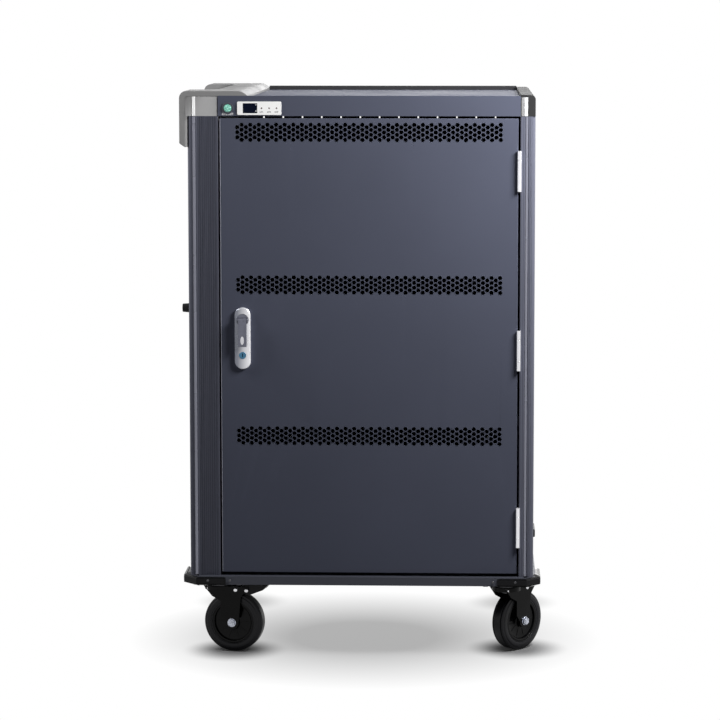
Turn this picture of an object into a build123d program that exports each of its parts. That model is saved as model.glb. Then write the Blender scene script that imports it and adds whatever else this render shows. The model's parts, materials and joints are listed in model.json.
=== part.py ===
from build123d import *
import math
import os

# Charging cart on four swivel casters.
# X runs to the right as seen from the front, Y from front to back, Z up.
# The origin is on the floor, under the middle of the cart. Millimetres.

# Cabinet
body_width = 650.0
body_depth = 570.0
caster_height = 140.0
base_height = 16.0
door_height = 860.0
door_bottom_gap = 6.0
door_top_gap = 4.0
fascia_height = 38.0
top_recess = 4.0
handle_rise = 9.0

# Base tray and bumpers
base_side_lip = 5.0
base_front_lip = 12.0
tray_sheet = 2.0
tray_rim = 66.0
bumper_facet_wall = 4.0
bumper_screw_recess = 1.8
bumper_screw_head = 1.6
bumper_screw_length = 8.0
bumper_side_wall = 10.0
bumper_front_wall = 3.0
bumper_front_arm = 83.0
bumper_side_arm = 100.0
bumper_facet = 28.0
bumper_screw_head_radius = 4.0
bumper_screw_shank_radius = 2.0
bumper_screw_inset = 8.0
bumper_screw_pitch = 42.0

# Corner posts
post_wide = 57.5
post_narrow = 27.5
post_wall = 2.5
post_corner_radius = 9.0
post_bead = 12.5
post_groove_width = 2.0
post_groove_depth = 1.2
post_rib_pitch = 2.2
post_rib_groove = 1.1
post_rib_depth = 0.6
post_rib_start = 20.0
post_rib_count = 16

# Sheet metal
sheet = 1.5
panel_return = 12.0
rear_return = 18.0
panel_clearance = 0.5
panel_lift_gap = 3.0
fascia_return = 20.0
wall_sheet = 1.2

# Handle moulding, grip and right trim
moulding_width = 128.0
moulding_overhang = 15.0
moulding_drop = 105.0
moulding_corner_radius = 14.0
moulding_slope = 20.0
skirt_chamfer_width = 10.0
skirt_chamfer_height = 7.0
arm_length = 92.0
pocket_width = 65.0
pocket_corner_radius = 34.0
pocket_depth = 88.0
moulding_wall = 4.0
grip_radius = 14.0
grip_inset = 16.0
grip_drop = 48.0
trim_rise = 2.0
trim_corner_radius = 9.0
rail_height = 8.0
rail_depth = 15.0
rail_groove_depth = 1.5

# Door and rear panel vents
door_gap_left = 3.5
door_gap_right = 4.3
door_return = 18.0
vent_columns = 62
vent_rows = 3
vent_pitch = 9.3
vent_across_flats = 7.5
vent_top_inset = 26.0
rear_slot_count = 13
rear_slot_pitch = 40.0
rear_slot_width = 3.0
rear_slot_height = 15.0
rear_slot_row_pitch = 20.0
rear_slot_lift = 7.0
fan_slot_count = 7
fan_slot_pitch = 10.0

# Shelves and dividers
level_count = 3
level_pitch = 286.0
shelf_thickness = 15.0
vent_to_shelf = 20.0
shelf_lip_gap = 12.0
shelf_rear_gap = 20.0
slot_count = 10
divider_thickness = 2.0
divider_height = 200.0
divider_length = 340.0
divider_corner = 45.0
divider_front_gap = 8.0

# Hinges
hinge_length = 76.0
hinge_end_knuckle = 17.0
hinge_radius = 4.0
hinge_pin_radius = 2.0
hinge_pin_clearance = 0.05
hinge_knuckle_gap = 0.4
hinge_leaf = 1.5
hinge_leaf_depth = 20.0
hinge_stand_off = 4.5
hinge_pitch = 336.5
hinge_offset = -4.5

# Pop-out lever lock
lock_inset = 41.0
lock_width = 30.0
lock_height = 117.0
lock_proud = 6.0
lock_edge = 1.5
yoke_disc = 3.0
cylinder_proud = 1.0
lock_center_height = 609.0
lock_body_width = 22.0
lock_body_height = 98.0
lock_body_depth = 16.0
lock_pivot_above_center = 35.0
lever_gap = 0.4
lever_thickness = 8.0
lever_width = 16.0
lever_length = 50.0
lever_tip_thickness = 5.0
lever_tip_slope = 14.0
lever_pin_radius = 1.5
yoke_ear = 2.0
yoke_gap = 0.5
spindle_radius = 5.0
spindle_clearance = 0.05
cylinder_radius = 6.5
cylinder_below_center = 32.0
cylinder_length = 19.0
key_slot_width = 1.6
key_slot_length = 7.0
cam_width = 16.0
cam_thickness = 3.0
cam_clearance = 3.0
cam_tip_gap = 1.5

# Header controls
button_inset = 18.5
button_radius = 7.2
button_clearance = 0.3
button_proud = 3.5
button_chamfer = 1.0
button_travel = 2.0
bezel_flange = 2.0
bezel_wall = 1.5
bezel_proud = 1.5
bezel_depth = 15.0
display_width = 82.5
display_height = 25.0
display_inset = 36.5
display_below_top = 23.3
display_proud = 1.5
display_depth = 14.0
display_border = 3.0
window_width = 27.0
window_height = 18.5
window_inset = 10.5
window_thickness = 1.0
window_recess = 1.2
lamp_radius = 1.5
lamp_count = 3
lamp_pitch = 14.0
lamp_inset = 45.5
lamp_length = 4.0

# Side lock
side_lock_radius = 9.0
side_lock_tip_radius = 7.8
side_lock_proud = 15.0
side_lock_barrel_radius = 7.0
side_lock_from_front = 40.0
side_lock_height = 662.0
side_lock_core_radius = 5.0
side_lock_depth = 20.0

# Power and cooling
strip_width = 500.0
strip_height = 42.0
strip_depth = 45.0
strip_rear_gap = 2.0
outlet_width = 26.0
outlet_height = 20.0
outlet_recess = 1.5
outlet_slot = 2.2
control_box_depth = 40.0
control_box_length = 260.0
control_box_height = 190.0
control_box_bottom = 480.0
inlet_width = 24.0
inlet_height = 17.0
inlet_depth = 20.0
inlet_wall = 2.5
inlet_flange_width = 50.0
inlet_flange_height = 30.0
inlet_flange = 3.0
inlet_from_left = 45.0
inlet_above_base = 60.0
inlet_pin_length = 13.0
fan_size = 80.0
fan_depth = 25.0
fan_bore_radius = 37.5
fan_hub_radius = 18.0
fan_blade_tip_gap = 1.5
fan_blades = 7
fan_below_top = 164.0
fan_shaft_radius = 3.0
fan_strut = 4.0
fan_blade_angle = 35.0

# Casters
caster_inset_x = 50.0
caster_inset_y = 55.0
wheel_radius = 57.5
wheel_width = 30.0
rim_radius = 41.0
rim_wall = 5.0
web_thickness = 8.0
rim_step = 2.0
tyre_shoulder = 3.0
boss_radius = 13.0
hub_rib_count = 10
hub_rib_thickness = 2.5
caster_trail = 30.5
axle_radius = 5.0
axle_clearance = 0.05
nut_across_flats = 17.0
nut_thickness = 6.0
fork_gap = 2.5
fork_leg = 3.0
fork_crown_radius = 28.0
fork_crown_thickness = 8.0
fork_foot_radius = 13.0
fork_leg_front = 26.0
fork_leg_rear = 64.0
fork_leg_lead = 22.5
fork_shoulder_reach = 18.0
fork_shoulder_drop = 12.0
fork_wing_reach = 9.0
fork_wing_drop = 12.0
fork_brow = 21.0
swivel_gap = 0.4
caster_plate_length = 100.0
caster_plate_width = 84.0
caster_plate_thickness = 3.0
caster_plate_corner = 8.0
race_radius = 23.0
race_height = 9.0
kingpin_radius = 5.0
kingpin_clearance = 0.05
kingpin_nut_radius = 9.0
kingpin_nut_height = 5.0
caster_bolt_spacing_x = 80.0
caster_bolt_spacing_y = 64.0
caster_bolt_radius = 4.0
caster_bolt_head_radius = 6.5
caster_bolt_head_height = 4.0
caster_bolt_length = 12.0
fastener_clearance = 0.05
pedal_pivot_reach = 46.0
pedal_pivot_height = 120.5
pedal_pin_radius = 2.5
pedal_pin_clearance = 0.05
pedal_eye_radius = 5.0
pedal_side_gap = 1.0
# Side outline of the brake pedal, from its pivot: distance back, distance up
pedal_outline = [
    (-2.0, 4.6), (8.0, 9.5), (47.0, 11.0), (51.0, 9.0), (45.0, 2.0), (20.0, -8.0), (13.0, -8.5), (3.0, -4.0),
]
caster_yaw = {"front_left": -12.0, "front_right": 47.5, "rear_left": -80.0, "rear_right": -55.0}

# Heights that follow from the sizes above
half_width = body_width / 2
half_depth = body_depth / 2
base_top = caster_height + base_height
door_bottom = base_top + door_bottom_gap
door_top = door_bottom + door_height
header_bottom = door_top + door_top_gap
header_top = header_bottom + fascia_height
handle_top = header_top + handle_rise
top_sheet_top = header_top - top_recess
top_sheet_bottom = top_sheet_top - sheet

# The opening between the posts
opening_left = -half_width + post_wide
opening_right = half_width - post_narrow
opening_width = opening_right - opening_left
opening_center = (opening_left + opening_right) / 2
left_post_back = half_depth - post_narrow
right_post_back = half_depth - post_wide

# Door
door_left = opening_left + door_gap_left
door_right = opening_right - door_gap_right
door_width = door_right - door_left
door_center_x = (door_left + door_right) / 2
door_center_z = (door_bottom + door_top) / 2
vent_top_z = door_top - vent_top_inset
hinge_x = (door_right + opening_right) / 2
hinge_y = -half_depth - hinge_stand_off
hinge_heights = [door_center_z + hinge_offset + k * hinge_pitch for k in (-1, 0, 1)]

# Lock
lock_x = door_left + lock_inset
lock_pivot_z = lock_center_height + lock_pivot_above_center
lock_cylinder_z = lock_center_height - cylinder_below_center
lock_face_y = -half_depth - lock_proud
lever_back_y = lock_face_y - lever_gap
lever_axis_y = lever_back_y - lever_thickness / 2

# Levels: the lowest shelf stands on the base, the others lie just above a band of vents
vent_heights = [vent_top_z - k * level_pitch for k in range(level_count)]
shelf_bottoms = [base_top] + [z + vent_to_shelf for z in reversed(vent_heights[1:])]
shelf_front_y = -half_depth + door_return + shelf_lip_gap
shelf_back_y = half_depth - rear_return - shelf_rear_gap
slot_pitch = opening_width / slot_count


def block(x_range, y_range, z_range, mode=Mode.ADD):
    # a box between two corners
    spans = (x_range, y_range, z_range)
    with Locations(tuple((low + high) / 2 for low, high in spans)):
        Box(*[high - low for low, high in spans], mode=mode)


def around(middle, length):
    return (middle - length / 2, middle + length / 2)


def save(piece, name):
    piece.part.label = name
    export_step(piece.part, f"parts/{name}.step")


def front_plane(y):
    # faces the viewer: local x is X, local y is Z, normal is -Y
    return Plane(origin=(0, y, 0), x_dir=(1, 0, 0), z_dir=(0, -1, 0))


def side_plane(x):
    # local x is Y, local y is Z, normal is +X
    return Plane(origin=(x, 0, 0), x_dir=(0, 1, 0), z_dir=(1, 0, 0))


os.makedirs("parts", exist_ok=True)

# Base tray: a folded pan with a wide rim turned in over the top
tray_half_x = half_width + base_side_lip
tray_half_y = half_depth + base_front_lip
bumper_half_x = tray_half_x + bumper_side_wall
bumper_half_y = tray_half_y + bumper_front_wall
tray_chamfer = (
    bumper_facet - bumper_side_wall - bumper_front_wall + bumper_facet_wall * math.sqrt(2)
)
base_middle_z = (caster_height + base_top) / 2
screw_reach = bumper_half_x - bumper_front_arm + bumper_screw_inset
bumper_screw_xs = [
    side * (screw_reach + k * bumper_screw_pitch) for side in (-1, 1) for k in (0, 1)
]
caster_x = half_width - caster_inset_x
caster_y = half_depth - caster_inset_y
caster_bolt_points = [
    (sx * caster_x + bx * caster_bolt_spacing_x / 2, sy * caster_y + by * caster_bolt_spacing_y / 2)
    for sx in (-1, 1) for sy in (-1, 1) for bx in (-1, 1) for by in (-1, 1)
]

with BuildPart() as base_tray:
    with BuildSketch(Plane.XY.offset(caster_height)) as tray_outline:
        Rectangle(2 * tray_half_x, 2 * tray_half_y)
        chamfer(tray_outline.vertices(), tray_chamfer)
    extrude(amount=base_height)
    with BuildSketch(Plane.XY.offset(caster_height + tray_sheet)) as tray_hollow:
        Rectangle(2 * (tray_half_x - tray_sheet), 2 * (tray_half_y - tray_sheet))
        chamfer(tray_hollow.vertices(), tray_chamfer)
    extrude(amount=base_height - 2 * tray_sheet, mode=Mode.SUBTRACT)
    with BuildSketch(Plane.XY.offset(base_top - tray_sheet)):
        RectangleRounded(2 * (tray_half_x - tray_rim), 2 * (tray_half_y - tray_rim), tray_rim / 4)
    extrude(amount=tray_sheet, mode=Mode.SUBTRACT)
    with BuildSketch(Plane.XY.offset(caster_height)):
        with Locations(*caster_bolt_points):
            Circle(caster_bolt_radius + fastener_clearance)
    extrude(amount=tray_sheet, mode=Mode.SUBTRACT)
    with BuildSketch(Plane.XZ):
        with Locations(*[(x, base_middle_z) for x in bumper_screw_xs]):
            Circle(bumper_screw_shank_radius + fastener_clearance)
    extrude(amount=tray_half_y, both=True, mode=Mode.SUBTRACT)
save(base_tray, "base_tray")

with BuildPart() as corner_bumpers:
    for sx in (-1, 1):
        for sy in (-1, 1):
            with BuildSketch(Plane.XY.offset(caster_height)):
                with BuildLine():
                    Polyline(
                        (sx * (bumper_half_x - bumper_front_arm), sy * bumper_half_y),
                        (sx * (bumper_half_x - bumper_facet), sy * bumper_half_y),
                        (sx * bumper_half_x, sy * (bumper_half_y - bumper_facet)),
                        (sx * bumper_half_x, sy * (bumper_half_y - bumper_side_arm)),
                        (sx * tray_half_x, sy * (bumper_half_y - bumper_side_arm)),
                        (sx * tray_half_x, sy * (tray_half_y - tray_chamfer)),
                        (sx * (tray_half_x - tray_chamfer), sy * tray_half_y),
                        (sx * (bumper_half_x - bumper_front_arm), sy * tray_half_y),
                        close=True,
                    )
                make_face()
            extrude(amount=base_height)
    with BuildSketch(Plane.XZ):
        with Locations(*[(x, base_middle_z) for x in bumper_screw_xs]):
            Circle(bumper_screw_shank_radius + fastener_clearance)
    extrude(amount=bumper_half_y, both=True, mode=Mode.SUBTRACT)
    for sy in (-1, 1):
        with BuildSketch(front_plane(sy * (bumper_half_y - bumper_screw_recess))):
            with Locations(*[(x, base_middle_z) for x in bumper_screw_xs]):
                Circle(bumper_screw_head_radius + fastener_clearance)
        extrude(amount=-sy * bumper_screw_recess, mode=Mode.SUBTRACT)
save(corner_bumpers, "corner_bumpers")

caster_plate_bottom = caster_height - caster_plate_thickness
with BuildPart() as base_fasteners:
    for sy in (-1, 1):
        with BuildSketch(front_plane(sy * (bumper_half_y - bumper_screw_recess))):
            with Locations(*[(x, base_middle_z) for x in bumper_screw_xs]):
                Circle(bumper_screw_head_radius)
        extrude(amount=-sy * bumper_screw_head)
        with BuildSketch(front_plane(sy * (bumper_half_y - bumper_screw_recess))):
            with Locations(*[(x, base_middle_z) for x in bumper_screw_xs]):
                Circle(bumper_screw_shank_radius)
        extrude(amount=sy * bumper_screw_length)
    with BuildSketch(Plane.XY.offset(caster_plate_bottom - caster_bolt_head_height)):
        with Locations(*caster_bolt_points):
            RegularPolygon(caster_bolt_head_radius, 6, major_radius=False)
    extrude(amount=caster_bolt_head_height)
    with BuildSketch(Plane.XY.offset(caster_plate_bottom)):
        with Locations(*caster_bolt_points):
            Circle(caster_bolt_radius)
    extrude(amount=caster_bolt_length)
save(base_fasteners, "base_fasteners")

# Corner posts: one extrusion, stood at each corner with its ribbed side towards
# the front and back on the left, and towards the side on the right
post_height = header_bottom - base_top
post_planes = {
    "front_left": Plane(origin=(-half_width, -half_depth, base_top), x_dir=(1, 0, 0), z_dir=(0, 0, 1)),
    "front_right": Plane(origin=(half_width, -half_depth, base_top), x_dir=(0, 1, 0), z_dir=(0, 0, 1)),
    "rear_left": Plane(origin=(-half_width, half_depth, header_bottom), x_dir=(1, 0, 0), z_dir=(0, 0, -1)),
    "rear_right": Plane(origin=(half_width, half_depth, header_bottom), x_dir=(0, -1, 0), z_dir=(0, 0, -1)),
}
for corner, plane in post_planes.items():
    with BuildPart() as post:
        with BuildSketch(plane) as section:
            Rectangle(post_wide, post_narrow, align=(Align.MIN, Align.MIN))
            fillet(section.vertices().sort_by_distance((0, 0))[0], post_corner_radius)
            with Locations((post_bead, 0)):
                Rectangle(
                    post_groove_width, post_groove_depth,
                    align=(Align.MIN, Align.MIN), mode=Mode.SUBTRACT,
                )
            with Locations((0, post_bead)):
                Rectangle(
                    post_groove_depth, post_groove_width,
                    align=(Align.MIN, Align.MIN), mode=Mode.SUBTRACT,
                )
            with Locations(*[(post_rib_start + k * post_rib_pitch, 0) for k in range(post_rib_count)]):
                Rectangle(
                    post_rib_groove, post_rib_depth,
                    align=(Align.MIN, Align.MIN), mode=Mode.SUBTRACT,
                )
        extrude(amount=post_height)
        with BuildSketch(plane) as bore:
            with Locations((post_wall, post_wall)):
                Rectangle(
                    post_wide - 2 * post_wall, post_narrow - 2 * post_wall,
                    align=(Align.MIN, Align.MIN),
                )
            fillet(bore.vertices().sort_by_distance((0, 0))[0], post_corner_radius - post_wall)
        extrude(amount=post_height, mode=Mode.SUBTRACT)
    save(post, f"post_{corner}")

# Side panels and the inner wall
moulding_left = -half_width - moulding_overhang
moulding_right = moulding_left + moulding_width
moulding_bottom = handle_top - moulding_drop
left_panel_back = left_post_back - panel_clearance
left_panel_bottom = base_top + panel_clearance
left_panel_top = moulding_bottom - panel_lift_gap
side_lock_y = -half_depth + side_lock_from_front

with BuildPart() as side_panel_left:
    with BuildSketch(side_plane(-half_width)):
        with Locations((0, (left_panel_bottom + left_panel_top) / 2)):
            Rectangle(2 * left_panel_back, left_panel_top - left_panel_bottom)
        with Locations((side_lock_y, side_lock_height)):
            Circle(side_lock_barrel_radius + fastener_clearance, mode=Mode.SUBTRACT)
    extrude(amount=wall_sheet)
    with BuildSketch(side_plane(-half_width + wall_sheet)):
        with Locations((0, (left_panel_bottom + left_panel_top) / 2)):
            Rectangle(2 * left_panel_back, left_panel_top - left_panel_bottom)
            Rectangle(
                2 * (left_panel_back - wall_sheet),
                left_panel_top - left_panel_bottom - 2 * wall_sheet,
                mode=Mode.SUBTRACT,
            )
    extrude(amount=panel_return - wall_sheet)
save(side_panel_left, "side_panel_left")

with BuildPart() as side_panel_right:
    block(
        (half_width - panel_return, half_width),
        (-right_post_back, right_post_back),
        (base_top, header_bottom),
    )
    block(
        (half_width - panel_return, half_width - wall_sheet),
        (-right_post_back + wall_sheet, right_post_back - wall_sheet),
        (base_top + wall_sheet, header_bottom - wall_sheet),
        mode=Mode.SUBTRACT,
    )
save(side_panel_right, "side_panel_right")

with BuildPart() as inner_wall:
    block(
        (opening_left - wall_sheet, opening_left),
        (-left_post_back, left_post_back),
        (base_top, header_bottom),
    )
save(inner_wall, "inner_wall")

# Handle moulding: a cap along the left top edge with a skirt down the side,
# and a hand pocket between its front and rear arms
pocket_wall_x = moulding_left + pocket_width
pocket_floor_z = handle_top - pocket_depth
pocket_half = half_depth - arm_length
liner_right = opening_left - wall_sheet

with BuildPart() as handle_moulding:
    with BuildSketch(front_plane(-half_depth)):
        with BuildLine():
            slope = TangentArc(
                (moulding_right - moulding_slope, handle_top),
                (moulding_right, header_top),
                tangent=(1, 0),
            )
            top = Line(slope @ 0, (moulding_left + moulding_corner_radius, handle_top))
            shoulder = TangentArc(
                top @ 1,
                (moulding_left, handle_top - moulding_corner_radius),
                tangent=(-1, 0),
            )
            Polyline(
                shoulder @ 1,
                (moulding_left, moulding_bottom + skirt_chamfer_height),
                (moulding_left + skirt_chamfer_width, moulding_bottom),
                (-half_width, moulding_bottom),
                (-half_width, header_bottom),
                (opening_left, header_bottom),
                (opening_left, header_top),
                slope @ 1,
            )
        make_face()
    extrude(amount=-body_depth)
    block((opening_left, moulding_right), (-half_depth + sheet, half_depth), (top_sheet_bottom, header_top))
    block((-half_width, liner_right), (-left_panel_back, left_panel_back), (moulding_bottom, header_bottom))
    with BuildSketch(Plane.XY.offset(pocket_floor_z)):
        with Locations((pocket_wall_x, 0)):
            RectangleRounded(
                2 * pocket_width, 2 * pocket_half, pocket_corner_radius,
                align=(Align.MAX, Align.CENTER),
            )
    extrude(amount=pocket_depth, mode=Mode.SUBTRACT)
    block(
        (-half_width + moulding_wall, liner_right - moulding_wall),
        (-pocket_half, pocket_half),
        (moulding_bottom, pocket_floor_z - moulding_wall),
        mode=Mode.SUBTRACT,
    )
    for side in (-1, 1):
        arm_span = sorted((side * (pocket_half + moulding_wall), side * (left_panel_back - moulding_wall)))
        block(
            (-half_width + moulding_wall, liner_right - moulding_wall),
            arm_span,
            (moulding_bottom, header_bottom),
            mode=Mode.SUBTRACT,
        )
save(handle_moulding, "handle_moulding")

with BuildPart() as grip_bar:
    with BuildSketch(front_plane(0)):
        with Locations((moulding_left + grip_inset, handle_top - grip_drop)):
            Circle(grip_radius)
    extrude(amount=pocket_half, both=True)
save(grip_bar, "grip_bar")

# Right trim, top panel, rear rail and fascia
with BuildPart() as right_trim:
    with BuildSketch(front_plane(-half_depth)) as trim_section:
        with Locations((opening_right, header_bottom)):
            Rectangle(post_narrow, fascia_height + trim_rise, align=(Align.MIN, Align.MIN))
        fillet(trim_section.vertices().group_by(Axis.X)[-1].sort_by(Axis.Y)[-1], trim_corner_radius)
    extrude(amount=-body_depth)
save(right_trim, "right_trim")

with BuildPart() as top_panel:
    block(
        (moulding_right, opening_right),
        (-half_depth + sheet, half_depth - rail_depth),
        (top_sheet_bottom, top_sheet_top),
    )
save(top_panel, "top_panel")

with BuildPart() as rear_rail:
    block(
        (moulding_right, opening_right),
        (half_depth - rail_depth, half_depth),
        (top_sheet_bottom, top_sheet_top + rail_height),
    )
    block(
        (moulding_right, opening_right),
        (half_depth - rail_depth * 2 / 3, half_depth - rail_depth / 3),
        (top_sheet_top + rail_height - rail_groove_depth, top_sheet_top + rail_height),
        mode=Mode.SUBTRACT,
    )
save(rear_rail, "rear_rail")

button_x = opening_left + button_inset
display_left = opening_left + display_inset
display_x = display_left + display_width / 2
display_z = header_top - display_below_top
bezel_bore_radius = button_radius + button_clearance
bezel_radius = bezel_bore_radius + bezel_wall
button_depth = button_proud + bezel_depth - bezel_wall - button_travel - button_clearance
display_body = (display_width - 2 * display_border, display_height - 2 * display_border)

with BuildPart() as fascia:
    with BuildSketch(front_plane(-half_depth)):
        with Locations((opening_center, (header_bottom + header_top) / 2)):
            Rectangle(opening_width, fascia_height)
        with Locations((button_x, display_z)):
            Circle(bezel_radius + fastener_clearance, mode=Mode.SUBTRACT)
        with Locations((display_x, display_z)):
            Rectangle(
                display_body[0] + 2 * fastener_clearance,
                display_body[1] + 2 * fastener_clearance,
                mode=Mode.SUBTRACT,
            )
    extrude(amount=-sheet)
    for low in (header_bottom, top_sheet_bottom - sheet):
        block(
            (opening_left, opening_right),
            (-half_depth + sheet, -half_depth + fascia_return),
            (low, low + sheet),
        )
save(fascia, "fascia")

# Header controls
with BuildPart() as switch_bezel:
    with BuildSketch(front_plane(-half_depth)):
        with Locations((button_x, display_z)):
            Circle(bezel_radius + bezel_flange)
    extrude(amount=bezel_proud)
    with BuildSketch(front_plane(-half_depth)):
        with Locations((button_x, display_z)):
            Circle(bezel_radius)
    extrude(amount=-bezel_depth)
    with BuildSketch(front_plane(-half_depth + bezel_depth - bezel_wall)):
        with Locations((button_x, display_z)):
            Circle(bezel_bore_radius)
    extrude(amount=bezel_depth + bezel_proud, mode=Mode.SUBTRACT)
save(switch_bezel, "switch_bezel")

with BuildPart() as power_button:
    with BuildSketch(front_plane(-half_depth - button_proud)):
        with Locations((button_x, display_z)):
            Circle(button_radius)
    extrude(amount=-button_depth)
    chamfer(power_button.faces().sort_by(Axis.Y)[0].edges(), button_chamfer)
save(power_button, "power_button")

display_face_y = -half_depth - display_proud
window_x = display_left + window_inset + window_width / 2
lamp_xs = [display_left + lamp_inset + k * lamp_pitch for k in range(lamp_count)]
with BuildPart() as display_housing:
    with BuildSketch(front_plane(display_face_y)):
        with Locations((display_x, display_z)):
            Rectangle(display_width, display_height)
    extrude(amount=-display_proud)
    with BuildSketch(front_plane(-half_depth)):
        with Locations((display_x, display_z)):
            Rectangle(*display_body)
    extrude(amount=-display_depth)
    with BuildSketch(front_plane(display_face_y)):
        with Locations((window_x, display_z)):
            Rectangle(window_width, window_height)
    extrude(amount=-window_recess, mode=Mode.SUBTRACT)
    with BuildSketch(front_plane(display_face_y)):
        with Locations(*[(x, display_z) for x in lamp_xs]):
            Circle(lamp_radius)
    extrude(amount=-lamp_length, mode=Mode.SUBTRACT)
save(display_housing, "display_housing")

with BuildPart() as display_window:
    with BuildSketch(front_plane(display_face_y + window_recess - window_thickness)):
        with Locations((window_x, display_z)):
            Rectangle(window_width, window_height)
    extrude(amount=-window_thickness)
save(display_window, "display_window")

with BuildPart() as indicator_lamps:
    with BuildSketch(front_plane(display_face_y)):
        with Locations(*[(x, display_z) for x in lamp_xs]):
            Circle(lamp_radius)
    extrude(amount=-lamp_length)
save(indicator_lamps, "indicator_lamps")

# Rear panel
rear_top = top_sheet_bottom
inlet_x = opening_left + inlet_from_left
inlet_z = base_top + inlet_above_base
inlet_body = (inlet_width + 2 * inlet_wall, inlet_height + 2 * inlet_wall)
fan_z = header_top - fan_below_top
rear_slots = []
for z in vent_heights:
    for row in (0, 1):
        for k in range(rear_slot_count - row):
            slot_x = opening_center + (k - (rear_slot_count - 1 - row) / 2) * rear_slot_pitch
            rear_slots.append((slot_x, z + rear_slot_lift + row * rear_slot_row_pitch))
fan_slot_reach = fan_bore_radius - fan_strut / 2
fan_slots = []
for k in range(fan_slot_count):
    offset = (k - (fan_slot_count - 1) / 2) * fan_slot_pitch
    fan_slots.append((opening_center + offset, 2 * math.sqrt(fan_slot_reach**2 - offset**2)))
with BuildPart() as rear_panel:
    with BuildSketch(front_plane(half_depth)):
        with Locations((opening_center, (base_top + rear_top) / 2)):
            Rectangle(opening_width, rear_top - base_top)
        with Locations((inlet_x, inlet_z)):
            Rectangle(
                inlet_body[0] + 2 * fastener_clearance,
                inlet_body[1] + 2 * fastener_clearance,
                mode=Mode.SUBTRACT,
            )
        with Locations(*rear_slots):
            SlotOverall(rear_slot_height, rear_slot_width, rotation=90, mode=Mode.SUBTRACT)
        for slot_x, length in fan_slots:
            with Locations((slot_x, fan_z)):
                SlotOverall(length, rear_slot_width, rotation=90, mode=Mode.SUBTRACT)
    extrude(amount=sheet)
    with BuildSketch(front_plane(half_depth - sheet)):
        with Locations((opening_center, (base_top + rear_top) / 2)):
            Rectangle(opening_width, rear_top - base_top)
            Rectangle(opening_width - 2 * sheet, rear_top - base_top - 2 * sheet, mode=Mode.SUBTRACT)
    extrude(amount=rear_return - sheet)
save(rear_panel, "rear_panel")

# Shelves and dividers
for level, bottom in enumerate(shelf_bottoms, start=1):
    with BuildPart() as shelf:
        block((opening_left, opening_right), (shelf_front_y, shelf_back_y), (bottom, bottom + shelf_thickness))
        block(
            (opening_left + sheet, opening_right - sheet),
            (shelf_front_y + sheet, shelf_back_y - sheet),
            (bottom, bottom + shelf_thickness - sheet),
            mode=Mode.SUBTRACT,
        )
    save(shelf, f"shelf_{level}")

divider_front_y = shelf_front_y + divider_front_gap
with BuildPart() as dividers:
    for bottom in shelf_bottoms:
        shelf_top = bottom + shelf_thickness
        for k in range(1, slot_count):
            with BuildSketch(side_plane(opening_left + k * slot_pitch)):
                with BuildLine():
                    Polyline(
                        (divider_front_y, shelf_top),
                        (divider_front_y, shelf_top + divider_height - divider_corner),
                        (divider_front_y + divider_corner, shelf_top + divider_height),
                        (divider_front_y + divider_length, shelf_top + divider_height),
                        (divider_front_y + divider_length, shelf_top),
                        close=True,
                    )
                make_face()
            extrude(amount=divider_thickness / 2, both=True)
save(dividers, "dividers")

# Power strips: one at the back of each level
strip_back_y = shelf_back_y - strip_rear_gap
with BuildPart() as power_strips:
    for bottom in shelf_bottoms:
        strip_bottom = bottom + shelf_thickness
        strip_z = strip_bottom + strip_height / 2
        outlets = [
            (opening_center + (k - (slot_count - 1) / 2) * strip_width / slot_count, strip_z)
            for k in range(slot_count)
        ]
        pin_slots = [(x + dx, z) for x, z in outlets for dx in (-outlet_width / 4, outlet_width / 4)]
        block(
            around(opening_center, strip_width),
            (strip_back_y - strip_depth, strip_back_y),
            (strip_bottom, strip_bottom + strip_height),
        )
        with BuildSketch(front_plane(strip_back_y - strip_depth)):
            with Locations(*outlets):
                Rectangle(outlet_width, outlet_height)
        extrude(amount=-outlet_recess, mode=Mode.SUBTRACT)
        with BuildSketch(front_plane(strip_back_y - strip_depth)):
            with Locations(*pin_slots):
                Rectangle(outlet_slot, outlet_height / 2)
        extrude(amount=-strip_depth / 3, mode=Mode.SUBTRACT)
save(power_strips, "power_strips")

with BuildPart() as control_box:
    with BuildSketch(side_plane(opening_left - wall_sheet)):
        with Locations((0, control_box_bottom + control_box_height / 2)):
            RectangleRounded(control_box_length, control_box_height, control_box_depth / 8)
    extrude(amount=-control_box_depth)
save(control_box, "control_box")

inlet_face_y = half_depth + inlet_flange
with BuildPart() as mains_inlet:
    with BuildSketch(front_plane(half_depth)):
        with Locations((inlet_x, inlet_z)):
            SlotOverall(inlet_flange_width, inlet_flange_height)
    extrude(amount=-inlet_flange)
    with BuildSketch(front_plane(half_depth)):
        with Locations((inlet_x, inlet_z)):
            Rectangle(*inlet_body)
    extrude(amount=inlet_depth + inlet_wall - inlet_flange)
    with BuildSketch(front_plane(inlet_face_y)):
        with Locations((inlet_x, inlet_z)):
            Rectangle(inlet_width, inlet_height)
    extrude(amount=inlet_depth, mode=Mode.SUBTRACT)
    with BuildSketch(front_plane(inlet_face_y - inlet_depth)):
        with Locations(*[
            (inlet_x + dx * inlet_width / 4, inlet_z - abs(dx) * inlet_height / 8) for dx in (-1, 0, 1)
        ]):
            Rectangle(outlet_slot, inlet_height / 3)
    extrude(amount=-inlet_pin_length)
save(mains_inlet, "mains_inlet")

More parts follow.
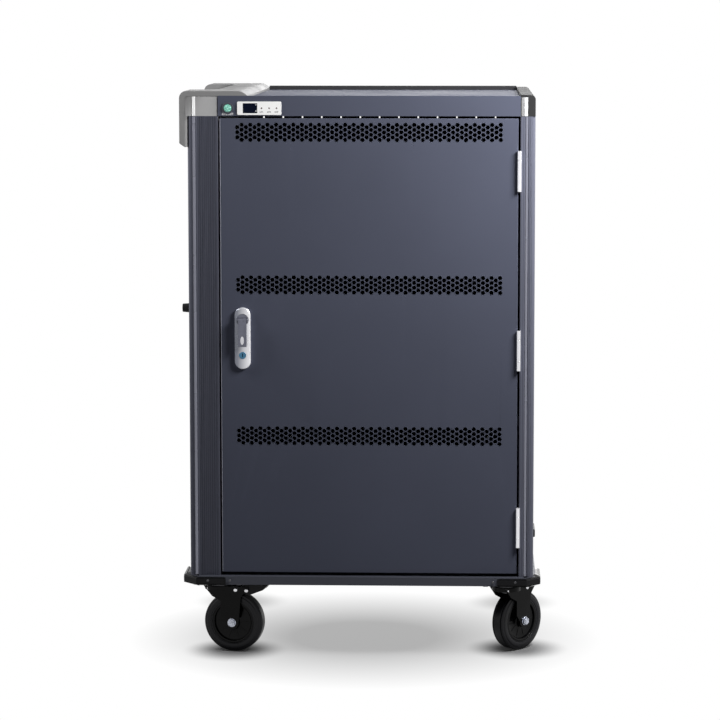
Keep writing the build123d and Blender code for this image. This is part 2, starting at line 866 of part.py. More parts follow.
# Exhaust fan below the top band of rear vents
fan_back_y = half_depth - sheet
with BuildPart() as fan_frame:
    with BuildSketch(front_plane(fan_back_y)):
        with Locations((opening_center, fan_z)):
            RectangleRounded(fan_size, fan_size, fan_strut)
            Circle(fan_bore_radius, mode=Mode.SUBTRACT)
    extrude(amount=fan_depth)
    with BuildSketch(front_plane(fan_back_y)):
        with Locations((opening_center, fan_z)):
            Circle(fan_hub_radius)
            Rectangle(2 * fan_bore_radius + fan_strut / 2, fan_strut)
            Rectangle(fan_strut, 2 * fan_bore_radius + fan_strut / 2)
    extrude(amount=fan_strut)
    with BuildSketch(front_plane(fan_back_y)):
        with Locations((opening_center, fan_z)):
            Circle(fan_shaft_radius)
    extrude(amount=fan_depth - fan_strut)
save(fan_frame, "fan_frame")

fan_rotor_back_y = fan_back_y - fan_strut - swivel_gap
fan_rotor_length = fan_depth - 2 * fan_strut
fan_tip_radius = fan_bore_radius - fan_blade_tip_gap
with BuildPart() as fan_rotor:
    with BuildSketch(front_plane(fan_rotor_back_y)):
        with Locations((opening_center, fan_z)):
            Circle(fan_hub_radius)
    extrude(amount=fan_rotor_length)
    with Locations(Plane(
        origin=(opening_center, fan_rotor_back_y - fan_rotor_length / 2, fan_z),
        x_dir=(1, 0, 0),
        z_dir=(0, -1, 0),
    )):
        with PolarLocations((fan_hub_radius + fan_tip_radius) / 2 - fan_strut / 4, fan_blades):
            Box(
                fan_tip_radius - fan_hub_radius,
                fan_strut / 3,
                fan_rotor_length * 0.8,
                rotation=(fan_blade_angle, 0, 0),
            )
    with BuildSketch(front_plane(fan_rotor_back_y)):
        with Locations((opening_center, fan_z)):
            Circle(fan_shaft_radius + axle_clearance)
    extrude(amount=fan_rotor_length, mode=Mode.SUBTRACT)
save(fan_rotor, "fan_rotor")

# Door: in each band of vents the columns hold vent_rows and vent_rows + 1 holes in turn
vent_column_pitch = vent_pitch * math.sqrt(3) / 2
vent_points = []
for column in range(vent_columns):
    rows = vent_rows + column % 2
    vent_x = door_center_x + (column - (vent_columns - 1) / 2) * vent_column_pitch
    vent_points += [
        (vent_x, z + (row - (rows - 1) / 2) * vent_pitch) for z in vent_heights for row in range(rows)
    ]

with BuildPart() as door_panel:
    with BuildSketch(front_plane(-half_depth)):
        with Locations((door_center_x, door_center_z)):
            Rectangle(door_width, door_height)
        with Locations((lock_x, lock_center_height)):
            Rectangle(
                lock_body_width + 2 * fastener_clearance,
                lock_body_height + 2 * fastener_clearance,
                mode=Mode.SUBTRACT,
            )
        with Locations(*vent_points):
            RegularPolygon(vent_across_flats / 2, 6, major_radius=False, mode=Mode.SUBTRACT)
    extrude(amount=-sheet, clean=False)
    with BuildSketch(front_plane(-half_depth + sheet)):
        with Locations((door_center_x, door_center_z)):
            Rectangle(door_width, door_height)
            Rectangle(door_width - 2 * sheet, door_height - 2 * sheet, mode=Mode.SUBTRACT)
    extrude(amount=-(door_return - sheet), clean=False)
save(door_panel, "door_panel")

# Hinges: the two end knuckles belong to the frame, the middle one to the door
hinge_middle_knuckle = hinge_length - 2 * hinge_end_knuckle - 2 * hinge_knuckle_gap
hinge_bore_radius = hinge_pin_radius + hinge_pin_clearance
leaf_front_y = hinge_y + hinge_radius + hinge_knuckle_gap
leaf_back_y = leaf_front_y + hinge_leaf_depth


def knuckle(low_z, height):
    with BuildSketch(Plane.XY.offset(low_z)) as ring:
        with Locations((hinge_x, hinge_y)):
            Circle(hinge_radius)
    extrude(ring.sketch, amount=height)


def hinge_bore(middle_z):
    with BuildSketch(Plane.XY.offset(middle_z)) as bore:
        with Locations((hinge_x, hinge_y)):
            Circle(hinge_bore_radius)
    extrude(bore.sketch, amount=hinge_length / 2, both=True, mode=Mode.SUBTRACT)


with BuildPart() as frame_hinge_leaves:
    for z in hinge_heights:
        leaf_x = (opening_right - hinge_leaf, opening_right)
        for end in (-1, 1):
            knuckle_middle = z + end * (hinge_length - hinge_end_knuckle) / 2
            knuckle_span = around(knuckle_middle, hinge_end_knuckle)
            knuckle(knuckle_span[0], hinge_end_knuckle)
            block(leaf_x, (hinge_y, leaf_front_y), knuckle_span)
        block(leaf_x, (leaf_front_y, leaf_back_y), around(z, hinge_length))
        hinge_bore(z)
save(frame_hinge_leaves, "frame_hinge_leaves")

with BuildPart() as door_hinge_leaves:
    for z in hinge_heights:
        leaf_x = (door_right, door_right + hinge_leaf)
        knuckle_span = around(z, hinge_middle_knuckle)
        knuckle(knuckle_span[0], hinge_middle_knuckle)
        block(leaf_x, (hinge_y, leaf_front_y), knuckle_span)
        block(leaf_x, (leaf_front_y, leaf_back_y), around(z, hinge_length))
        hinge_bore(z)
save(door_hinge_leaves, "door_hinge_leaves")

with BuildPart() as hinge_pins:
    for z in hinge_heights:
        with BuildSketch(Plane.XY.offset(z)):
            with Locations((hinge_x, hinge_y)):
                Circle(hinge_pin_radius)
        extrude(amount=hinge_length / 2, both=True)
save(hinge_pins, "hinge_pins")

# Lever lock
yoke_disc_radius = lever_width / 2 + yoke_gap + yoke_ear + yoke_gap
yoke_recess_radius = yoke_disc_radius + lever_gap
with BuildPart() as lock_housing:
    with BuildSketch(front_plane(-half_depth)):
        with Locations((lock_x, lock_center_height)):
            SlotOverall(lock_height, lock_width, rotation=90)
    extrude(amount=lock_proud)
    chamfer(lock_housing.faces().sort_by(Axis.Y)[0].edges(), lock_edge)
    with BuildSketch(front_plane(-half_depth)):
        with Locations((lock_x, lock_center_height)):
            Rectangle(lock_body_width, lock_body_height)
    extrude(amount=-lock_body_depth)
    with BuildSketch(front_plane(lock_face_y)):
        with Locations((lock_x, lock_pivot_z)):
            Circle(yoke_recess_radius)
    extrude(amount=-(yoke_disc + lever_gap), mode=Mode.SUBTRACT)
    with BuildSketch(front_plane(lock_face_y)):
        with Locations((lock_x, lock_pivot_z)):
            Circle(spindle_radius + spindle_clearance)
        with Locations((lock_x, lock_cylinder_z)):
            Circle(cylinder_radius + spindle_clearance)
    extrude(amount=-(lock_proud + lock_body_depth), mode=Mode.SUBTRACT)
save(lock_housing, "lock_housing")

ear_inner = lever_width / 2 + yoke_gap
cam_back_y = -half_depth + door_return + cam_clearance + cam_thickness
with BuildPart() as lock_spindle:
    with BuildSketch(front_plane(lock_face_y)):
        with Locations((lock_x, lock_pivot_z)):
            Circle(yoke_disc_radius)
    extrude(amount=-yoke_disc)
    for side in (-1, 1):
        with BuildSketch(side_plane(lock_x + side * (ear_inner + yoke_ear / 2))):
            with Locations((lever_axis_y, lock_pivot_z)):
                Circle(lever_thickness / 2)
            with Locations(((lever_axis_y + lock_face_y + yoke_disc) / 2, lock_pivot_z)):
                Rectangle(lock_face_y + yoke_disc - lever_axis_y, lever_thickness)
        extrude(amount=yoke_ear / 2, both=True)
    with BuildSketch(side_plane(lock_x)):
        with Locations((lever_axis_y, lock_pivot_z)):
            Circle(lever_pin_radius)
    extrude(amount=ear_inner + yoke_ear, both=True)
    with BuildSketch(front_plane(lock_face_y + yoke_disc)):
        with Locations((lock_x, lock_pivot_z)):
            Circle(spindle_radius)
    extrude(amount=-(cam_back_y - lock_face_y - yoke_disc))
    with BuildSketch(front_plane(cam_back_y)):
        with Locations((lock_x, lock_pivot_z)):
            Circle(cam_width / 2)
        with Locations(((opening_left + cam_tip_gap + lock_x) / 2, lock_pivot_z)):
            Rectangle(lock_x - opening_left - cam_tip_gap, cam_width)
    extrude(amount=cam_thickness)
save(lock_spindle, "lock_spindle")

with BuildPart() as lock_lever:
    with BuildSketch(side_plane(lock_x)):
        with Locations((lever_axis_y, lock_pivot_z)):
            Circle(lever_thickness / 2)
        with BuildLine():
            Polyline(
                (lever_back_y, lock_pivot_z),
                (lever_back_y - lever_thickness, lock_pivot_z),
                (lever_back_y - lever_thickness, lock_pivot_z - lever_length),
                (lever_back_y - lever_tip_thickness, lock_pivot_z - lever_length),
                (lever_back_y, lock_pivot_z - lever_length + lever_tip_slope),
                close=True,
            )
        make_face()
        with Locations((lever_axis_y, lock_pivot_z)):
            Circle(lever_pin_radius + hinge_pin_clearance, mode=Mode.SUBTRACT)
    extrude(amount=lever_width / 2, both=True)
save(lock_lever, "lock_lever")

with BuildPart() as lock_cylinder:
    with BuildSketch(front_plane(lock_face_y - cylinder_proud)):
        with Locations((lock_x, lock_cylinder_z)):
            Circle(cylinder_radius)
    extrude(amount=-cylinder_length)
    with BuildSketch(front_plane(lock_face_y - cylinder_proud)):
        with Locations((lock_x, lock_cylinder_z)):
            Rectangle(key_slot_width, key_slot_length)
    extrude(amount=-cylinder_length / 2, mode=Mode.SUBTRACT)
save(lock_cylinder, "lock_cylinder")

# Round lock of the left side panel
side_lock_face_x = -half_width - side_lock_proud
side_lock_back_x = -half_width + side_lock_depth
with BuildPart() as side_lock_body:
    with BuildSketch(side_plane(-half_width)):
        with Locations((side_lock_y, side_lock_height)):
            Circle(side_lock_radius)
    with BuildSketch(side_plane(side_lock_face_x)):
        with Locations((side_lock_y, side_lock_height)):
            Circle(side_lock_tip_radius)
    loft()
    with BuildSketch(side_plane(-half_width)):
        with Locations((side_lock_y, side_lock_height)):
            Circle(side_lock_barrel_radius)
    extrude(amount=side_lock_depth)
    with BuildSketch(side_plane(side_lock_face_x)):
        with Locations((side_lock_y, side_lock_height)):
            Circle(side_lock_core_radius + spindle_clearance)
    extrude(amount=side_lock_proud + side_lock_depth, mode=Mode.SUBTRACT)
save(side_lock_body, "side_lock_body")

side_cam_reach = left_post_back + side_lock_y - cam_tip_gap
with BuildPart() as side_lock_cylinder:
    with BuildSketch(side_plane(side_lock_face_x)):
        with Locations((side_lock_y, side_lock_height)):
            Circle(side_lock_core_radius)
    extrude(amount=side_lock_proud + side_lock_depth + swivel_gap)
    with BuildSketch(side_plane(side_lock_back_x + swivel_gap)):
        with Locations((side_lock_y, side_lock_height)):
            Circle(side_lock_core_radius)
        with Locations((side_lock_y - side_cam_reach / 2, side_lock_height)):
            Rectangle(side_cam_reach, 2 * side_lock_core_radius)
    extrude(amount=cam_thickness)
    with BuildSketch(side_plane(side_lock_face_x)):
        with Locations((side_lock_y, side_lock_height)):
            Rectangle(key_slot_width, key_slot_length)
    extrude(amount=side_lock_proud, mode=Mode.SUBTRACT)
save(side_lock_cylinder, "side_lock_cylinder")

# Casters
race_bottom = caster_plate_bottom - race_height
crown_top = race_bottom - swivel_gap
crown_bottom = crown_top - fork_crown_thickness
kingpin_nut_top = crown_bottom - swivel_gap
leg_inner = wheel_width / 2 + fork_gap
leg_outer = leg_inner + fork_leg

with BuildPart() as caster_plates:
    for sx in (-1, 1):
        for sy in (-1, 1):
            center = (sx * caster_x, sy * caster_y)
            with BuildSketch(Plane.XY.offset(caster_plate_bottom)):
                with Locations(center):
                    RectangleRounded(caster_plate_length, caster_plate_width, caster_plate_corner)
            extrude(amount=caster_plate_thickness)
            with BuildSketch(Plane.XY.offset(race_bottom)):
                with Locations(center):
                    Circle(race_radius)
            extrude(amount=race_height)
            with BuildSketch(Plane.XY.offset(kingpin_nut_top)):
                with Locations(center):
                    Circle(kingpin_radius)
            extrude(amount=race_bottom - kingpin_nut_top)
            with BuildSketch(Plane.XY.offset(kingpin_nut_top - kingpin_nut_height)):
                with Locations(center):
                    Circle(kingpin_nut_radius)
            extrude(amount=kingpin_nut_height)
    with BuildSketch(Plane.XY.offset(caster_plate_bottom)):
        with Locations(*caster_bolt_points):
            Circle(caster_bolt_radius + fastener_clearance)
    extrude(amount=caster_plate_thickness, mode=Mode.SUBTRACT)
save(caster_plates, "caster_plates")


def upright(frame, y):
    # stands along the wheel: local x trails back from the swivel, local y is Z
    return Plane(origin=frame.from_local_coords(Vector(0, y, 0)), x_dir=frame.x_dir, z_dir=-frame.y_dir)


def make_fork(frame, braked):
    with BuildPart() as fork:
        with BuildSketch(frame.offset(crown_bottom)) as crown:
            Circle(fork_crown_radius)
        extrude(crown.sketch, amount=fork_crown_thickness)
        for side in (-1, 1):
            with BuildSketch(upright(frame, side * (leg_inner + fork_leg / 2))) as leg:
                with BuildLine():
                    Polyline(
                        (-fork_leg_front, crown_top),
                        (fork_leg_rear, crown_top),
                        (caster_trail + fork_shoulder_reach, crown_bottom - fork_shoulder_drop),
                        (caster_trail + fork_foot_radius, wheel_radius),
                        (caster_trail - fork_foot_radius, wheel_radius),
                        (caster_trail - fork_leg_lead, wheel_radius + fork_foot_radius),
                        (caster_trail - fork_leg_lead, crown_bottom - fork_brow),
                        (-fork_wing_reach, crown_bottom - fork_wing_drop),
                        close=True,
                    )
                make_face()
                with Locations((caster_trail, wheel_radius)):
                    Circle(fork_foot_radius)
                    Circle(axle_radius + axle_clearance, mode=Mode.SUBTRACT)
            extrude(leg.sketch, amount=fork_leg / 2, both=True)
        with BuildSketch(frame.offset(crown_bottom)) as kingpin_hole:
            Circle(kingpin_radius + kingpin_clearance)
        extrude(kingpin_hole.sketch, amount=fork_crown_thickness, mode=Mode.SUBTRACT)
        if braked:
            with BuildSketch(upright(frame, 0)) as pedal_pin:
                with Locations((pedal_pivot_reach, pedal_pivot_height)):
                    Circle(pedal_pin_radius)
            extrude(pedal_pin.sketch, amount=leg_inner, both=True)
    return fork


def make_axle(frame):
    with BuildPart() as axle:
        with BuildSketch(upright(frame, 0)) as shank:
            with Locations((caster_trail, wheel_radius)):
                Circle(axle_radius)
        extrude(shank.sketch, amount=leg_outer, both=True)
        for side in (-1, 1):
            with BuildSketch(upright(frame, side * (leg_outer + nut_thickness / 2))) as nut:
                with Locations((caster_trail, wheel_radius)):
                    RegularPolygon(nut_across_flats / 2, 6, major_radius=False)
            extrude(nut.sketch, amount=nut_thickness / 2, both=True)
    return axle


def make_hub(frame):
    with BuildPart() as hub:
        for outer, inner, width in (
            (rim_radius, rim_radius - rim_wall, wheel_width - rim_step),
            (rim_radius - rim_wall, boss_radius, web_thickness),
            (boss_radius, axle_radius + axle_clearance, wheel_width + rim_step),
        ):
            with BuildSketch(upright(frame, 0)) as ring:
                with Locations((caster_trail, wheel_radius)):
                    Circle(outer)
                    Circle(inner, mode=Mode.SUBTRACT)
            extrude(ring.sketch, amount=width / 2, both=True)
        with BuildSketch(upright(frame, 0)) as ribs:
            with Locations((caster_trail, wheel_radius)):
                with PolarLocations((rim_radius - rim_wall + boss_radius) / 2, hub_rib_count):
                    Rectangle(rim_radius - boss_radius, hub_rib_thickness)
        extrude(ribs.sketch, amount=(wheel_width - rim_wall) / 2, both=True)
    return hub


def make_tyre(frame):
    with BuildPart() as tyre:
        with BuildSketch(upright(frame, 0)) as disc:
            with Locations((caster_trail, wheel_radius)):
                Circle(wheel_radius)
        extrude(disc.sketch, amount=wheel_width / 2, both=True)
        chamfer(tyre.edges().filter_by(GeomType.CIRCLE), tyre_shoulder)
        with BuildSketch(upright(frame, 0)) as core:
            with Locations((caster_trail, wheel_radius)):
                Circle(rim_radius)
        extrude(core.sketch, amount=wheel_width / 2, both=True, mode=Mode.SUBTRACT)
    return tyre


def make_pedal(frame):
    pivot = Vector(pedal_pivot_reach, pedal_pivot_height)
    with BuildPart() as pedal:
        with BuildSketch(upright(frame, 0)) as lever:
            with BuildLine():
                Polyline(*[(pivot.X + dx, pivot.Y + dz) for dx, dz in pedal_outline], close=True)
            make_face()
            with Locations((pedal_pivot_reach, pedal_pivot_height)):
                Circle(pedal_eye_radius)
                Circle(pedal_pin_radius + pedal_pin_clearance, mode=Mode.SUBTRACT)
        extrude(lever.sketch, amount=leg_inner - pedal_side_gap, both=True)
    return pedal


for corner, yaw in caster_yaw.items():
    depth_side, width_side = corner.split("_")
    frame = Plane(
        origin=(
            caster_x if width_side == "right" else -caster_x,
            caster_y if depth_side == "rear" else -caster_y,
            0,
        ),
        x_dir=(math.cos(math.radians(yaw)), math.sin(math.radians(yaw)), 0),
        z_dir=(0, 0, 1),
    )
    braked = width_side == "left"
    save(make_fork(frame, braked), f"fork_{corner}")
    save(make_axle(frame), f"axle_{corner}")
    save(make_hub(frame), f"hub_{corner}")
    save(make_tyre(frame), f"tyre_{corner}")
    if braked:
        save(make_pedal(frame), f"brake_pedal_{corner}")
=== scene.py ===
import bpy
import json
import math
from mathutils import Matrix, Vector


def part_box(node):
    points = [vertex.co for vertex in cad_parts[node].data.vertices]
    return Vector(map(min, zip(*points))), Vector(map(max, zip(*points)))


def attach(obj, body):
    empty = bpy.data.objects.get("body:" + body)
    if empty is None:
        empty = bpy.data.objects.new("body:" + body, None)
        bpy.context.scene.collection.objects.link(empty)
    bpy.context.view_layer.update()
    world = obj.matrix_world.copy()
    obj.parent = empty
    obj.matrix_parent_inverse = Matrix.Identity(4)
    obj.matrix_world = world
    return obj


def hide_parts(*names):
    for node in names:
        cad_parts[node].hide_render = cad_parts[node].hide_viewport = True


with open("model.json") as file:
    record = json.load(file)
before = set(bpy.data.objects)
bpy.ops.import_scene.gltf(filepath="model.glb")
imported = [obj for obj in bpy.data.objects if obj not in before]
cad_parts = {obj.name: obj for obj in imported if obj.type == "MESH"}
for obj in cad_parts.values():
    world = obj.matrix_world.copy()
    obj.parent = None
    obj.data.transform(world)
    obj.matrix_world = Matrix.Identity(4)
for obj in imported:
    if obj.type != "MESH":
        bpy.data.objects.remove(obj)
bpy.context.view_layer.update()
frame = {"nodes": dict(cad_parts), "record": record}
nodes = frame["nodes"]
bodyOfNode = {node: body for body, members in frame["record"]["behaviour"]["bodies"].items() for node in members}
slotOfNode = {part["node"]: part["material_slot"] for part in frame["record"]["subparts"]}
print("frame loaded:", len(nodes), "nodes")

scene = bpy.context.scene
scene.view_settings.view_transform = "Standard"


def deselect():
    if bpy.context.object and bpy.context.object.mode != "OBJECT":
        bpy.ops.object.mode_set(mode="OBJECT")
    bpy.ops.object.select_all(action="DESELECT")


def activate(piece):
    deselect()
    piece.select_set(True)
    bpy.context.view_layer.objects.active = piece


def applyPlace(piece):
    activate(piece)
    bpy.ops.object.transform_apply(location=True, rotation=True, scale=True)


def finishWith(piece, kind, **values):
    activate(piece)
    step = piece.modifiers.new(kind.title(), kind)
    for key, value in values.items():
        setattr(step, key, value)
    bpy.ops.object.modifier_apply(modifier=step.name)


def roundEdges(piece, width, segments=2, angle=30):
    finishWith(
        piece, "BEVEL", width=width, segments=segments, limit_method="ANGLE",
        angle_limit=math.radians(angle), harden_normals=False, miter_outer="MITER_ARC",
    )


def smoothOver(piece, angle=35):
    # large flat faces keep their own direction, and only the rounded edges between them blend
    activate(piece)
    bpy.ops.object.shade_smooth_by_angle(angle=math.radians(angle))
    finishWith(piece, "WEIGHTED_NORMAL", mode="FACE_AREA", weight=100, keep_sharp=True)


def inMetres(outline, start=0.0):
    # (distance, radius) pairs in millimetres, the distances counted from a start in metres
    return [(start + distance / 1000, radius / 1000) for distance, radius in outline]


def faceOutwards(piece):
    activate(piece)
    bpy.ops.object.mode_set(mode="EDIT")
    bpy.ops.mesh.select_all(action="SELECT")
    bpy.ops.mesh.remove_doubles(threshold=0.00001)
    bpy.ops.mesh.normals_make_consistent(inside=False)
    bpy.ops.object.mode_set(mode="OBJECT")


def joinPieces(pieces, name):
    deselect()
    for piece in pieces:
        piece.select_set(True)
    bpy.context.view_layer.objects.active = pieces[0]
    if len(pieces) > 1:
        bpy.ops.object.join()
    pieces[0].name = name
    pieces[0].data.name = name
    return pieces[0]


def boxPiece(name, low, high):
    deselect()
    middle = [(a + b) / 2 for a, b in zip(low, high)]
    bpy.ops.mesh.primitive_cube_add(size=1, location=middle)
    piece = bpy.context.object
    piece.name = name
    piece.scale = [b - a for a, b in zip(low, high)]
    applyPlace(piece)
    return piece


def prismPiece(name, sides, radius, start, end):
    # a straight rod or hexagon between two points
    deselect()
    start, end = Vector(start), Vector(end)
    along = end - start
    bpy.ops.mesh.primitive_cylinder_add(vertices=sides, radius=radius, depth=along.length, location=(start + end) / 2)
    piece = bpy.context.object
    piece.name = name
    piece.rotation_mode = "QUATERNION"
    piece.rotation_quaternion = along.to_track_quat("Z", "Y")
    applyPlace(piece)
    return piece


def turnedPiece(name, profile, origin, axis, sides=48, closed=False):
    # turned as on a lathe: a ring is extruded step by step along (distance, radius)
    deselect()
    first, radius = profile[0]
    bpy.ops.mesh.primitive_circle_add(vertices=sides, radius=radius, location=(0, 0, first))
    piece = bpy.context.object
    piece.name = name
    applyPlace(piece)
    bpy.ops.object.mode_set(mode="EDIT")
    bpy.ops.mesh.select_all(action="SELECT")
    steps = profile[1:] + (profile[:1] if closed else [])
    place = first
    for distance, wanted in steps:
        bpy.ops.mesh.extrude_edges_move(TRANSFORM_OT_translate={"value": (0, 0, distance - place)})
        scale = wanted / radius
        bpy.ops.transform.resize(value=(scale, scale, 1), center_override=(0, 0, distance))
        place, radius = distance, wanted
    bpy.ops.mesh.select_all(action="SELECT")
    bpy.ops.mesh.remove_doubles(threshold=0.000002)
    if not closed:
        bpy.ops.mesh.select_all(action="DESELECT")
        bpy.ops.mesh.select_non_manifold()
        bpy.ops.mesh.fill_holes(sides=0)
    bpy.ops.mesh.select_all(action="SELECT")
    bpy.ops.mesh.normals_make_consistent(inside=False)
    bpy.ops.object.mode_set(mode="OBJECT")
    piece.rotation_mode = "QUATERNION"
    piece.rotation_quaternion = Vector(axis).to_track_quat("Z", "Y")
    piece.location = origin
    applyPlace(piece)
    return piece


def copyPiece(piece, name, move=(0, 0, 0), turn=None):
    twin = piece.copy()
    twin.data = piece.data.copy()
    twin.name = name
    scene.collection.objects.link(twin)
    place = Matrix.Translation(Vector(move))
    twin.data.transform(place @ turn if turn else place)
    return twin


def castCopy(node, name, width=0.0005, segments=2, angle=30, dissolve=True):
    # the solid's own shape, merged into whole faces and given the real part's soft edges
    piece = nodes[node].copy()
    piece.data = nodes[node].data.copy()
    for key in list(piece.keys()):
        del piece[key]
    piece.parent = None
    piece.name = name
    piece.data.name = name
    piece.data.materials.clear()
    scene.collection.objects.link(piece)
    activate(piece)
    bpy.ops.object.mode_set(mode="EDIT")
    bpy.ops.mesh.select_all(action="SELECT")
    bpy.ops.mesh.remove_doubles(threshold=0.000005)
    if dissolve:
        bpy.ops.mesh.dissolve_limited(angle_limit=math.radians(1.0))
    bpy.ops.object.mode_set(mode="OBJECT")
    if width:
        roundEdges(piece, width, segments, angle)
    smoothOver(piece)
    return piece


def pickEdges(piece, rule):
    # leaves the piece in edit mode with only the edges that the rule names selected
    activate(piece)
    bpy.ops.object.mode_set(mode="EDIT")
    bpy.ops.mesh.select_mode(type="EDGE")
    bpy.ops.mesh.select_all(action="DESELECT")
    bpy.ops.object.mode_set(mode="OBJECT")
    points = piece.data.vertices
    for edge in piece.data.edges:
        edge.select = rule(*[points[index].co for index in edge.vertices])
    bpy.ops.object.mode_set(mode="EDIT")


def roundPicked(piece, rule, width, segments=3):
    pickEdges(piece, rule)
    bpy.ops.mesh.bevel(offset=width, segments=segments, affect="EDGES", clamp_overlap=True)
    bpy.ops.object.mode_set(mode="OBJECT")


def sheetCopy(node, name, rule, width):
    # a holed sheet keeps its faces as they are, and only the edges that the rule names are rounded
    piece = castCopy(node, name, 0, dissolve=False)
    roundPicked(piece, rule, width)
    smoothOver(piece)
    return piece


def platePiece(name, outline, low, high):
    # a flat outline drawn from above and pulled up
    deselect()
    bpy.ops.mesh.primitive_circle_add(vertices=len(outline), radius=0.01, fill_type="NGON", location=(0, 0, 0))
    piece = bpy.context.object
    piece.name = name
    for point, (x, y) in zip(piece.data.vertices, outline):
        point.co = (x, y, low)
    bpy.ops.object.mode_set(mode="EDIT")
    bpy.ops.mesh.select_all(action="SELECT")
    bpy.ops.mesh.extrude_region_move(TRANSFORM_OT_translate={"value": (0, 0, high - low)})
    bpy.ops.mesh.select_all(action="SELECT")
    bpy.ops.mesh.normals_make_consistent(inside=False)
    bpy.ops.object.mode_set(mode="OBJECT")
    return piece


def cutWith(piece, cutter):
    finishWith(piece, "BOOLEAN", operation="DIFFERENCE", object=cutter, solver="EXACT")
    bpy.data.objects.remove(cutter)


def paint(piece, finish):
    piece.data.materials.clear()
    piece.data.materials.append(finish)


def settle(piece, body, finish, slot, *replaced):
    paint(piece, finish)
    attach(piece, body)
    if replaced:
        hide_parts(*replaced)
    return piece


def finishNodes(name):
    finish = bpy.data.materials.new(name)
    finish.use_nodes = True
    tree = finish.node_tree
    return finish, tree, tree.nodes["Principled BSDF"]


def patternOf(tree, kind, scale, stretch=(1, 1, 1), **values):
    place = tree.nodes.new("ShaderNodeTexCoord")
    mapping = tree.nodes.new("ShaderNodeMapping")
    mapping.inputs["Scale"].default_value = stretch
    tree.links.new(place.outputs["Object"], mapping.inputs["Vector"])
    pattern = tree.nodes.new(kind)
    pattern.inputs["Scale"].default_value = scale
    for key, value in values.items():
        pattern.inputs[key].default_value = value
    tree.links.new(mapping.outputs["Vector"], pattern.inputs["Vector"])
    return pattern


def spreadTo(tree, source, socket, low, high, fromLow=0.3, fromHigh=0.7):
    spread = tree.nodes.new("ShaderNodeMapRange")
    for key, value in (("From Min", fromLow), ("From Max", fromHigh), ("To Min", low), ("To Max", high)):
        spread.inputs[key].default_value = value
    tree.links.new(source, spread.inputs["Value"])
    if socket is not None:
        tree.links.new(spread.outputs["Result"], socket)
    return spread.outputs["Result"]


def blendColours(tree, factor, first, second):
    blend = tree.nodes.new("ShaderNodeMix")
    blend.data_type = "RGBA"
    tree.links.new(factor, blend.inputs[0])
    for index, value in ((6, first), (7, second)):
        if isinstance(value, bpy.types.NodeSocket):
            tree.links.new(value, blend.inputs[index])
        else:
            blend.inputs[index].default_value = (*value, 1)
    return blend.outputs[2]


def combined(tree, operation, first, second):
    node = tree.nodes.new("ShaderNodeMath")
    node.operation = operation
    tree.links.new(first, node.inputs[0])
    tree.links.new(second, node.inputs[1])
    return node.outputs[0]


def placeAlong(tree, axis):
    place = tree.nodes.new("ShaderNodeTexCoord")
    split = tree.nodes.new("ShaderNodeSeparateXYZ")
    tree.links.new(place.outputs["Object"], split.inputs["Vector"])
    return split.outputs[axis]


def coatedFinish(name, look):
    # a coat with broad tone changes, fine grain, rubbed patches and dust near the floor, and where a look asks, painted
    # shade in stripes between ribs and a painted highlight graded across x
    dust = {"scale": 35.0, "colour": (0.16, 0.15, 0.14)}
    finish, tree, shader = finishNodes(name)
    colour = look["colour"]
    stretch = look.get("stretch", (1, 1, 1))
    tone = patternOf(tree, "ShaderNodeTexNoise", look.get("toneScale", 3.0), stretch, Detail=4.0)
    spread = look.get("toneSpread", 0.06)
    toned = blendColours(
        tree, spreadTo(tree, tone.outputs["Fac"], None, 0, 1),
        [c * (1 - spread) for c in colour], [c * (1 + spread) for c in colour],
    )
    speck = patternOf(
        tree, "ShaderNodeTexNoise", look.get("grainScale", 900.0), look.get("grainStretch", (1, 1, 1)), Detail=3.0,
    )
    speckled = blendColours(
        tree, spreadTo(tree, speck.outputs["Fac"], None, 0, look.get("speck", 0.35), 0.45, 0.75),
        toned, [min(1, c * 1.5 + 0.01) for c in colour],
    )
    # painted shade: where a look asks, dark stripes at the rib pitch stand in for the shade in the grooves between the
    # ribs
    if look.get("ribs"):
        ribs = patternOf(tree, "ShaderNodeTexWave", look["ribs"], (1, 1, 0))
        ribs.bands_direction = "DIAGONAL"
        speckled = blendColours(
            tree, spreadTo(tree, ribs.outputs["Fac"], None, 0, 0.6, 0.35, 0.9), speckled, [c * 0.45 for c in colour],
        )
    # painted highlight: where a look asks, the colour grades across x towards a bright colour, as a lit side would look
    if look.get("across"):
        lowX, highX, paintedHighlightColour = look["across"]
        paintedHighlightMask = spreadTo(tree, placeAlong(tree, "X"), None, 0, 1, lowX, highX)
        speckled = blendColours(tree, paintedHighlightMask, speckled, paintedHighlightColour)
    if look.get("dust"):
        low = spreadTo(tree, placeAlong(tree, "Z"), None, look["dust"], 0.0, 0.0, look["dustTop"])
        patch = patternOf(tree, "ShaderNodeTexNoise", dust["scale"], Detail=6.0)
        mask = combined(tree, "MULTIPLY", low, spreadTo(tree, patch.outputs["Fac"], None, 0.2, 1, 0.4, 0.7))
        speckled = blendColours(tree, mask, speckled, dust["colour"])
    tree.links.new(speckled, shader.inputs["Base Color"])
    rub = patternOf(tree, "ShaderNodeTexNoise", 9.0, stretch, Detail=5.0)
    rough, rubbed = look["roughness"], 0.06
    spreadTo(tree, rub.outputs["Fac"], shader.inputs["Roughness"], rough - rubbed, rough + rubbed)
    bump = tree.nodes.new("ShaderNodeBump")
    bump.inputs["Strength"].default_value = look.get("bump", 0.25)
    bump.inputs["Distance"].default_value = look.get("depth", 0.0002)
    tree.links.new(speck.outputs["Fac"], bump.inputs["Height"])
    tree.links.new(bump.outputs["Normal"], shader.inputs["Normal"])
    shader.inputs["Metallic"].default_value = look.get("metal", 0.0)
    shader.inputs["Specular IOR Level"].default_value = look.get("specular", 0.5)
    if look.get("coat"):
        shader.inputs["Coat Weight"].default_value = look["coat"]
        shader.inputs["Coat Roughness"].default_value = 0.1
    return finish


